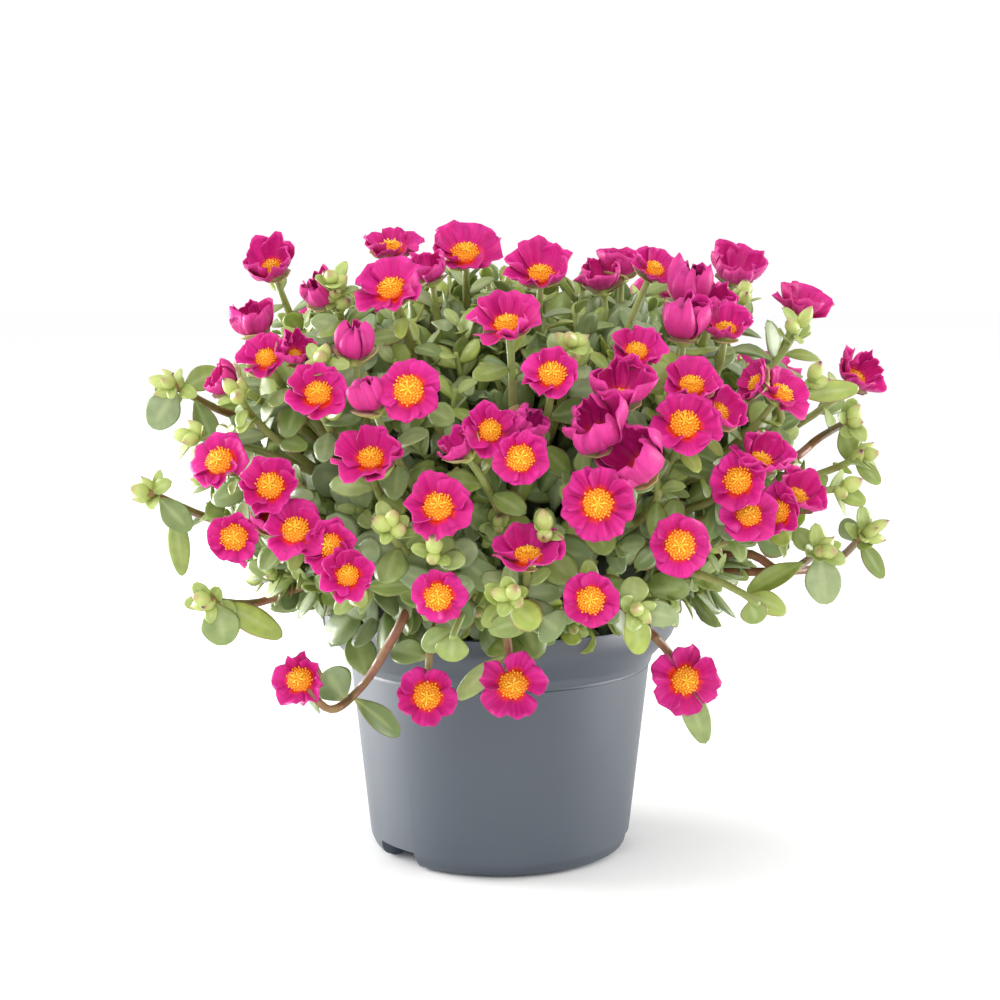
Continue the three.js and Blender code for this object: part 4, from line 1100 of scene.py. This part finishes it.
def addTube(bm, path, radii, ages):
    # a ring of vertices extruded from place to place along the path
    tube, tone = startShape()
    way = (path[1] - path[0]).normalized()
    last = placedFrame(way, 0, path[0]) @ Matrix.Scale(radii[0], 4)
    bmesh.ops.create_circle(tube, segments=stem["sides"], radius=1, cap_ends=True, matrix=last)
    face = tube.faces[:][0]
    for vert in tube.verts:
        vert[tone] = (0, 0, 0, ages[0])
    for i in range(1, len(path)):
        share = i / (len(path) - 1)
        way = (path[min(i + 1, len(path) - 1)] - path[i - 1]).normalized()
        turnBy = last.to_3x3().col[2].normalized().rotation_difference(way).to_matrix().to_4x4()
        turned = turnBy @ last.to_3x3().normalized().to_4x4()
        pose = Matrix.Translation(path[i]) @ turned @ Matrix.Scale(between(*radii, share), 4)
        made = bmesh.ops.extrude_face_region(tube, geom=[face])
        face = next(part for part in made["geom"] if isinstance(part, bmesh.types.BMFace))
        verts = movedVerts(made)
        bmesh.ops.transform(tube, matrix=pose @ last.inverted(), verts=verts)
        for vert in verts:
            vert[tone] = (share, 0, 0, between(*ages, share))
        last = pose
    addMesh(bm, toMesh(tube, "tube"), 1)


def alongPath(path, down):
    # the place and the way at a distance back from the path's end
    for i in range(len(path) - 1, 0, -1):
        step = path[i] - path[i - 1]
        if down <= step.length or i == 1:
            return path[i] - step.normalized() * down, step.normalized()
        down -= step.length


def bladePose(place, across, length, face):
    pose = Matrix((across, length, face)).transposed().to_4x4()
    pose.translation = place
    return pose


def leafPose(place, along, out, openBy, long, width=1.0):
    # a leaf that opens by so many degrees from the way along its stem
    openBy = math.radians(openBy)
    length = along * math.cos(openBy) + out * math.sin(openBy)
    face = along * math.sin(openBy) - out * math.cos(openBy)
    return bladePose(place, length.cross(face) * long * width, length * long, face * long)


clear = {"near": 45, "over": 0.5, "aside": 1.5, "before": 0.5, "spots": (0.55, 0.95)}


def isHiding(pose, blooms):
    # whether a leaf would stand in a bloom or between it and the front
    spots = [pose @ Vector((0, along, 0)) for along in clear["spots"]]
    for bloom in blooms:
        radius = bloom["wide"] / 2
        for spot in spots:
            away = spot - bloom["base"]
            if away.length > clear["near"]:
                break
            high = away.dot(bloom["aim"])
            aside = (away - bloom["aim"] * high).length
            if high > clear["over"] and aside < radius + clear["aside"]:
                return True
            if bloom["key"] < len(surveyedBlooms):
                line = (bloom["centre"] - eye).normalized()
                ahead = (spot - bloom["centre"]).dot(line)
                off = ((spot - bloom["centre"]) - line * ahead).length
                if ahead < 0 and off < radius + clear["before"]:
                    return True
    return False


def addLeaf(bm, styles, blooms, pose, key, age):
    if isHiding(pose, blooms):
        return False
    addCopy(bm, styles[int(draw(key, 50) * len(styles))], pose, draw(key, 51), age, 0)
    return True


def addSprig(bm, templates, blooms, path, key, rule):
    # leaves set round the last stretch of a shoot, smaller towards its tip
    for i in range(rule["leaves"]):
        share = (i + 0.6) / rule["leaves"]
        place, way = alongPath(path, between(rule["from"], rule["to"], share))
        out = frameFrom(way, math.radians(goldenTurn * i) + spread(key, 31, 0, 6.3)).to_3x3().col[0]
        openBy = spread(key, 32 + i, -12, 12) + between(rule["steep"], rule["flat"], share ** 0.7)
        long = between(rule["small"], rule["large"], share ** 0.6) * spread(key, 45 + i, 0.8, 1.15)
        pose = leafPose(place, way, out, openBy, long, spread(key, 60 + i, 0.85, 1.15))
        age = clamp(share * 1.1 + spread(key, 47, -0.3, 0.2))
        addLeaf(bm, templates["leaves"], blooms, pose, 100 * key + i, age)


hangingTipBack = 9  # how much deeper than their feet the leaves of hanging stems end


def addPlacedLeaves(bm, templates, path, key):
    # the leaves that are seen singly, each with its face towards the front
    back = hangingTipBack if key in hanging else 0
    for i, (down, across, rise, wide, age) in enumerate(placedLeaves[key]):
        base, _ = alongPath(path, down)
        tip = eye + sightLine(across, rise) * ((base - eye).length + back)
        long = (tip - base).length
        length = (tip - base) / long
        towards = ((eye - base).normalized() + upright * spread(key + i, 33, -0.2, 0.6)).normalized()
        sideways = length.cross(towards).normalized()
        breadth = wide / (2 * leafShape["half"] * leafStyles[i % 3]["half"])
        pose = bladePose(base, sideways * breadth, length * long, sideways.cross(length) * long)
        addCopy(bm, templates["fineLeaves"][i % 3], pose, draw(key + i, 51), age, 0)


def addBuds(bm, templates, path, aim, key, count, size=1.0):
    # a close cluster of buds with a few small pale leaves under it
    kinds = templates["buds"]
    for i in range(count):
        out = frameFrom(aim, math.radians(goldenTurn * i + 360 * draw(key, 5))).to_3x3().col[0]
        leaning = bud["lean"] * spread(key, 75 + i, 0.7, 1.2) if i else bud["first"]
        long = bud["length"] * spread(key, 60 + i, 0.8, 1.15) * size
        place, _ = alongPath(path, (bud["sunk"] + bud["apart"] * i) * size)
        pose = placedFrame((aim + out * leaning).normalized(), draw(key, 70 + i) * 6, place)
        wide = bud["radius"] / budShape["half"] * size * spread(key, 65 + i, 0.85, 1.1)
        addCopy(bm, kinds[i % len(kinds)], pose @ Matrix.Diagonal((wide, wide, long, 1)), draw(key, i), 0, 2)
    first, step = bud["leafDown"]
    for i in range(count + 1 if count else 0):
        place, way = alongPath(path, first + step * i)
        roll = math.radians(goldenTurn * i + bud["leafTurn"]) + 6 * draw(key, 5)
        long = bud["leaf"] * size * spread(key, 85 + i, 0.7, 1.25)
        pose = leafPose(place, way, frameFrom(way, roll).to_3x3().col[0], spread(key, 90 + i, 35, 75), long)
        addCopy(bm, templates["leaves"][i % len(leafStyles)], pose, 0.6, bud["leafAge"], 0)


# ---- the dense inside of the plant, and the leaves all over it

core = {
    "profile": [(107, 0.55), (120, 0.65), (158, 0.73), (196, 0.67), (221, 0.46), (231, 0.2)],
    "uneven": 0.05, "face": 10, "side": 16.6, "drawnIn": 0.88,
    "faces": (8, 16), "middle": 166, "tall": 58, "half": 15.5, "inset": 0.8, "axis": 0.15, "bumps": 3,
    "grain": 9,
}
mound = {
    "profile": [(104, 74), (114, 89), (126, 106), (142, 120), (166, 126), (190, 120), (210, 106),
                (226, 84), (238, 54), (247, 14)],
    "deep": 0.93,
}
bloomSprig = {"leaves": 4, "from": 9, "to": 30, "steep": 45, "flat": 78, "small": 11, "large": 19}
budSprig = {"leaves": 6, "from": 7, "to": 38, "steep": 45, "flat": 75, "small": 11, "large": 21}
fillSprig = {"leaves": 7, "from": 0.5, "to": 24, "steep": 22, "flat": 80, "small": 8, "large": 20}
fill = {"tries": 1500, "key": 500, "clear": 15.5, "stand": (0.88, 1.03), "radii": (1.9, 1.0),
        "ages": (1, 0.1), "steps": 5, "budded": 0.3, "budSize": 0.75, "sway": 0.5, "rise": 0.35,
        "crown": 100, "heart": (130, 0.3), "root": (150, 15)}
coreLeaves = {"key": 2000, "count": 800, "high": 226, "low": 116, "hangs": False, "open": (35, 85),
              "bare": []}
skirtLeaves = {"key": 4000, "count": 90, "high": 119, "low": 110, "hangs": True, "open": (30, 75),
               "bare": [(196, 226), (278, 340)]}
innerLeaf = {"surface": 0.92, "sunk": 6, "sway": 70, "long": (15, 24), "wide": (0.85, 1.15), "age": (0.5, 1)}


def coreRadius(clump, height, aside):
    # the inside's share of the dome, drawn in where two clumps meet
    profile = core["profile"]
    above = next((i for i, (level, _) in enumerate(profile) if level >= height), len(profile) - 1)
    above = max(1, above)
    shares = []
    for index in (above - 1, above):
        level, share = profile[index]
        shares.append((level, share * (1 + spread(10 * clump + index, 12, -core["uneven"], core["uneven"]))))
    (low, lowShare), (high, highShare) = shares
    closing = max(0, (abs(aside) - core["face"]) / (core["side"] - core["face"]))
    return between(lowShare, highShare, (height - low) / (high - low)) * (1 - (1 - core["drawnIn"]) * closing)


def corePoint(clump, height, aside, inset=1.0):
    share = coreRadius(clump, height, aside) * inset
    turn = math.radians(clumpTurn(clump) + aside)
    return ovalPoint(share * dome["reach"], share * dome["depth"], turn, height)


def moundPoint(turn, share, inset):
    # a place on the leafy mound: share runs evenly along its outline, from the
    # rim of the pot to the crown
    profile = [Vector((radius, height)) for height, radius in mound["profile"]]
    lengths = [(b - a).length for a, b in zip(profile, profile[1:])]
    left = share * sum(lengths)
    for here, there, length in zip(profile, profile[1:], lengths):
        if left <= length:
            break
        left -= length
    radius, height = here.lerp(there, min(1, left / length))
    return ovalPoint(radius * inset, radius * inset * mound["deep"], math.radians(turn), height)


def addCore(bm, clump):
    # the dense inside of a clump, which its leaves stand out of: a sheet painted dark as shade
    inner, _ = startShape()
    bmesh.ops.create_grid(inner, x_segments=core["faces"][0], y_segments=core["faces"][1], size=1)
    thicken(inner)
    for vert in inner.verts:
        x, y, depth = vert.co
        point = corePoint(clump, core["middle"] + core["tall"] * y, core["half"] * x, core["inset"])
        if depth > 0.5:
            vert.co = (point.x * core["axis"], point.y * core["axis"], point.z)
        else:
            vert.co = point + domeOutward(point) * core["bumps"] * noise.noise(point / core["grain"])
    addMesh(bm, toMesh(inner, "core"), 3)


def addTrunk(bm, clump):
    root = rootPlace(clump)
    top = Vector((root.x, root.y, clumps["top"]))
    addTube(bm, [root, root.lerp(top, 0.5), top], clumps["trunk"], (1, 1))


def growShoots(pieces, templates, blooms):
    # a stem to each bloom and each cluster of buds, with its leaves
    shoots = [(bloom["base"] - bloom["aim"] * stem["sunk"], bloom["aim"], bloom["key"], 0)
              for bloom in blooms]
    for index, (across, rise, turn, tilt, buds, stand) in enumerate(surveyedShoots):
        shoots.append((onDome(across, rise, stand), aimed(turn, tilt), firstShoot + index, buds))
    for tip, aim, key, buds in shoots:
        bm = pieces[clumpAt(tip)]
        root = rootPlace(clumpAt(tip))
        root.z = spread(key, 21, *stem["fork"])
        path = shootPath(key, root, tip, aim)
        radii, ages = (stem["start"], stem["tip"]), stem["ages"]
        if key in bends or key in hanging:
            radii = (radii[0] * stem["outer"][0], radii[1] * stem["outer"][1])
            ages = stem["outerAges"]
        addTube(bm, path, radii, ages)
        if key in placedLeaves:
            addPlacedLeaves(bm, templates, path, key)
        else:
            addSprig(bm, templates, blooms, path, key, budSprig if key >= firstShoot else bloomSprig)
        addBuds(bm, templates, path, aim, key, buds)
    print("shoots", len(shoots))
    return [shoot[0] for shoot in shoots]


def growFill(pieces, templates, blooms, tips):
    # short leafy shoots over the whole mound, wherever there is room
    filled = 0
    for i in range(fill["tries"]):
        tip = moundPoint(goldenTurn * i, draw(i, 54), spread(i, 55, *fill["stand"]))
        if draw(i, 53) > math.hypot(tip.x, tip.y) / fill["crown"] + 0.1:
            continue
        if any((tip - other).length < fill["clear"] for other in tips):
            continue
        tips.append(tip)
        sway = [spread(i, salt, -fill["sway"], fill["sway"]) for salt in (56, 57)]
        aim = (domeOutward(tip) + upright * fill["rise"] + Vector((*sway, 0))).normalized()
        bm = pieces[clumpAt(tip)]
        root = rootPlace(clumpAt(tip)).lerp(upright * fill["heart"][0], fill["heart"][1])
        root.z = min(fill["root"][0], tip.z - fill["root"][1])
        path = curvedPath(root, tip, aim, fill["steps"])
        addTube(bm, path, fill["radii"], fill["ages"])
        addSprig(bm, templates, blooms, path, fill["key"] + i, fillSprig)
        if draw(i, 58) < fill["budded"]:
            addBuds(bm, templates, path, aim, fill["key"] + i, 2 + i % 2, fill["budSize"])
        filled += 1
    print("fill sprigs", filled)


def growInner(pieces, templates, blooms, rule):
    # single leaves close over the dense inside
    count = 0
    for i in range(rule["count"]):
        key = rule["key"] + i
        height = between(rule["high"], rule["low"], (i + 0.5) / rule["count"])
        turn = (goldenTurn * i) % 360
        if any(low < turn < high for low, high in rule["bare"]):
            continue
        clump = int(turn * clumps["count"] / 360)
        surface = corePoint(clump, height, turn - clumpTurn(clump), innerLeaf["surface"])
        out = domeOutward(surface)
        lean = Quaternion(out, math.radians(spread(key, 41, -innerLeaf["sway"], innerLeaf["sway"]))) @ upright
        lean = lean * (-1 if rule["hangs"] else 1)
        lean = (lean - out * lean.dot(out)).normalized()
        pose = leafPose(surface - out * innerLeaf["sunk"], lean, out, spread(key, 42, *rule["open"]),
                        spread(key, 43, *innerLeaf["long"]), spread(key, 44, *innerLeaf["wide"]))
        age = spread(key, 46, *innerLeaf["age"])
        count += addLeaf(pieces[clump], templates["coarseLeaves"], blooms, pose, key, age)
    return count


def buildFoliage(templates, blooms, looks):
    pieces = [startShape()[0] for _ in range(clumps["count"])]
    for clump, bm in enumerate(pieces):
        addCore(bm, clump)
        addTrunk(bm, clump)
    tips = [bloom["base"] for bloom in blooms] + growShoots(pieces, templates, blooms)
    growFill(pieces, templates, blooms, tips)
    count = sum(growInner(pieces, templates, blooms, rule) for rule in (coreLeaves, skirtLeaves))
    print("inner leaves", count)
    for clump, bm in enumerate(pieces):
        finishGrown(f"leafy_clump_{clump + 1}", bm, looks, f"clump_{clump + 1}")


# ---- stage

stage = {"floor": 8.0, "floorColour": "#FAFAFA", "world": 1.02, "sensor": 36, "lens": 77.3}

# place, what it is aimed at and size in metres; power; and whether it only shows
# in gloss, as a white card beside the pot does
lamps = {
    "key": ((-1.4, 0.36, 0.38), (0, 0, 0.08), 1.2, 31, False),
    "fill": ((1.4, 0.25, 0.35), (0, 0, 0.08), 0.9, 13, False),
    "top": ((-0.3, -1.1, 1.5), (0, 0, 0.18), 1.4, 12, False),
    "front": ((0.1, -1.6, 0.3), (0, 0, 0.1), 0.9, 5.5, False),
    "left_card": ((-0.9, 0.2, 0.12), (0, 0, 0.05), 0.6, 29, True),
    "right_card": ((0.9, -0.1, 0.12), (0, 0, 0.05), 0.6, 12, True),
}


def buildStage():
    bm = bmesh.new()
    bmesh.ops.create_grid(bm, x_segments=1, y_segments=1, size=stage["floor"] / 2)
    floor = addObject("floor", toMesh(bm, "floor"))
    material, tree, shader = startMaterial("pale_floor")
    setSockets(tree, shader, baseColour=colour(stage["floorColour"]), roughness=0.9, specular=0.1)
    floor.data.materials.append(material)
    world = bpy.data.worlds.new("studio")
    world.use_nodes = True
    background = world.node_tree.nodes["Background"]
    background.inputs["Color"].default_value = (1, 1, 1, 1)
    background.inputs["Strength"].default_value = stage["world"]
    bpy.context.scene.world = world


def buildLamps():
    for name, (place, aimAt, size, power, onlyGloss) in lamps.items():
        light = bpy.data.lights.new(name, "AREA")
        light.shape = "DISK"
        light.size = size
        light.energy = power
        lamp = addObject(name, light)
        lamp.location = place
        lamp.rotation_euler = (Vector(aimAt) - Vector(place)).to_track_quat("-Z", "Y").to_euler()
        lamp.visible_diffuse = not onlyGloss


def buildCamera():
    camera = bpy.data.cameras.new("camera")
    camera.sensor_width = stage["sensor"]
    camera.lens = stage["lens"]
    holder = addObject("camera", camera)
    holder.location = eye * mm
    holder.rotation_euler = (math.radians(90 - sight["down"]), 0, 0)
    bpy.context.scene.camera = holder


def buildTemplates():
    sizes = {"leaves": (leafShape["around"], leafShape["rings"]), "fineLeaves": leafShape["fine"],
             "coarseLeaves": leafShape["coarse"]}
    templates = {name: [leafTemplate(style, *size) for style in leafStyles] for name, size in sizes.items()}
    return templates | {
        "calyx": budTemplate(0.2),
        "buds": [budTemplate(0.3), budTemplate(0.9)],
        "stamens": [stamenTemplate(seed) for seed in range(eyeShape["seeds"])],
        "petal": slabTemplate(petalFaces),
        "sepal": slabTemplate(sepalFaces),
    }


buildCamera()
buildStage()
buildLamps()
bpy.context.scene.view_settings.view_transform = "Standard"
print("stage")

buildPot(mouldedPolypropylene())
buildSoil(pottingSoil())
print("pot and soil")

templates = buildTemplates()
blooms = allBlooms()
bloomLooks = [petalTissue(), pollenYellow(), budSkin()]
buildHeads(templates, blooms, bloomLooks)
print("blooms", len(blooms))

buildFoliage(templates, blooms, [succulentLeaf(), fleshyStem(), bloomLooks[2], paintedShadeLeaves()])
print("foliage")

bpy.context.view_layer.update()
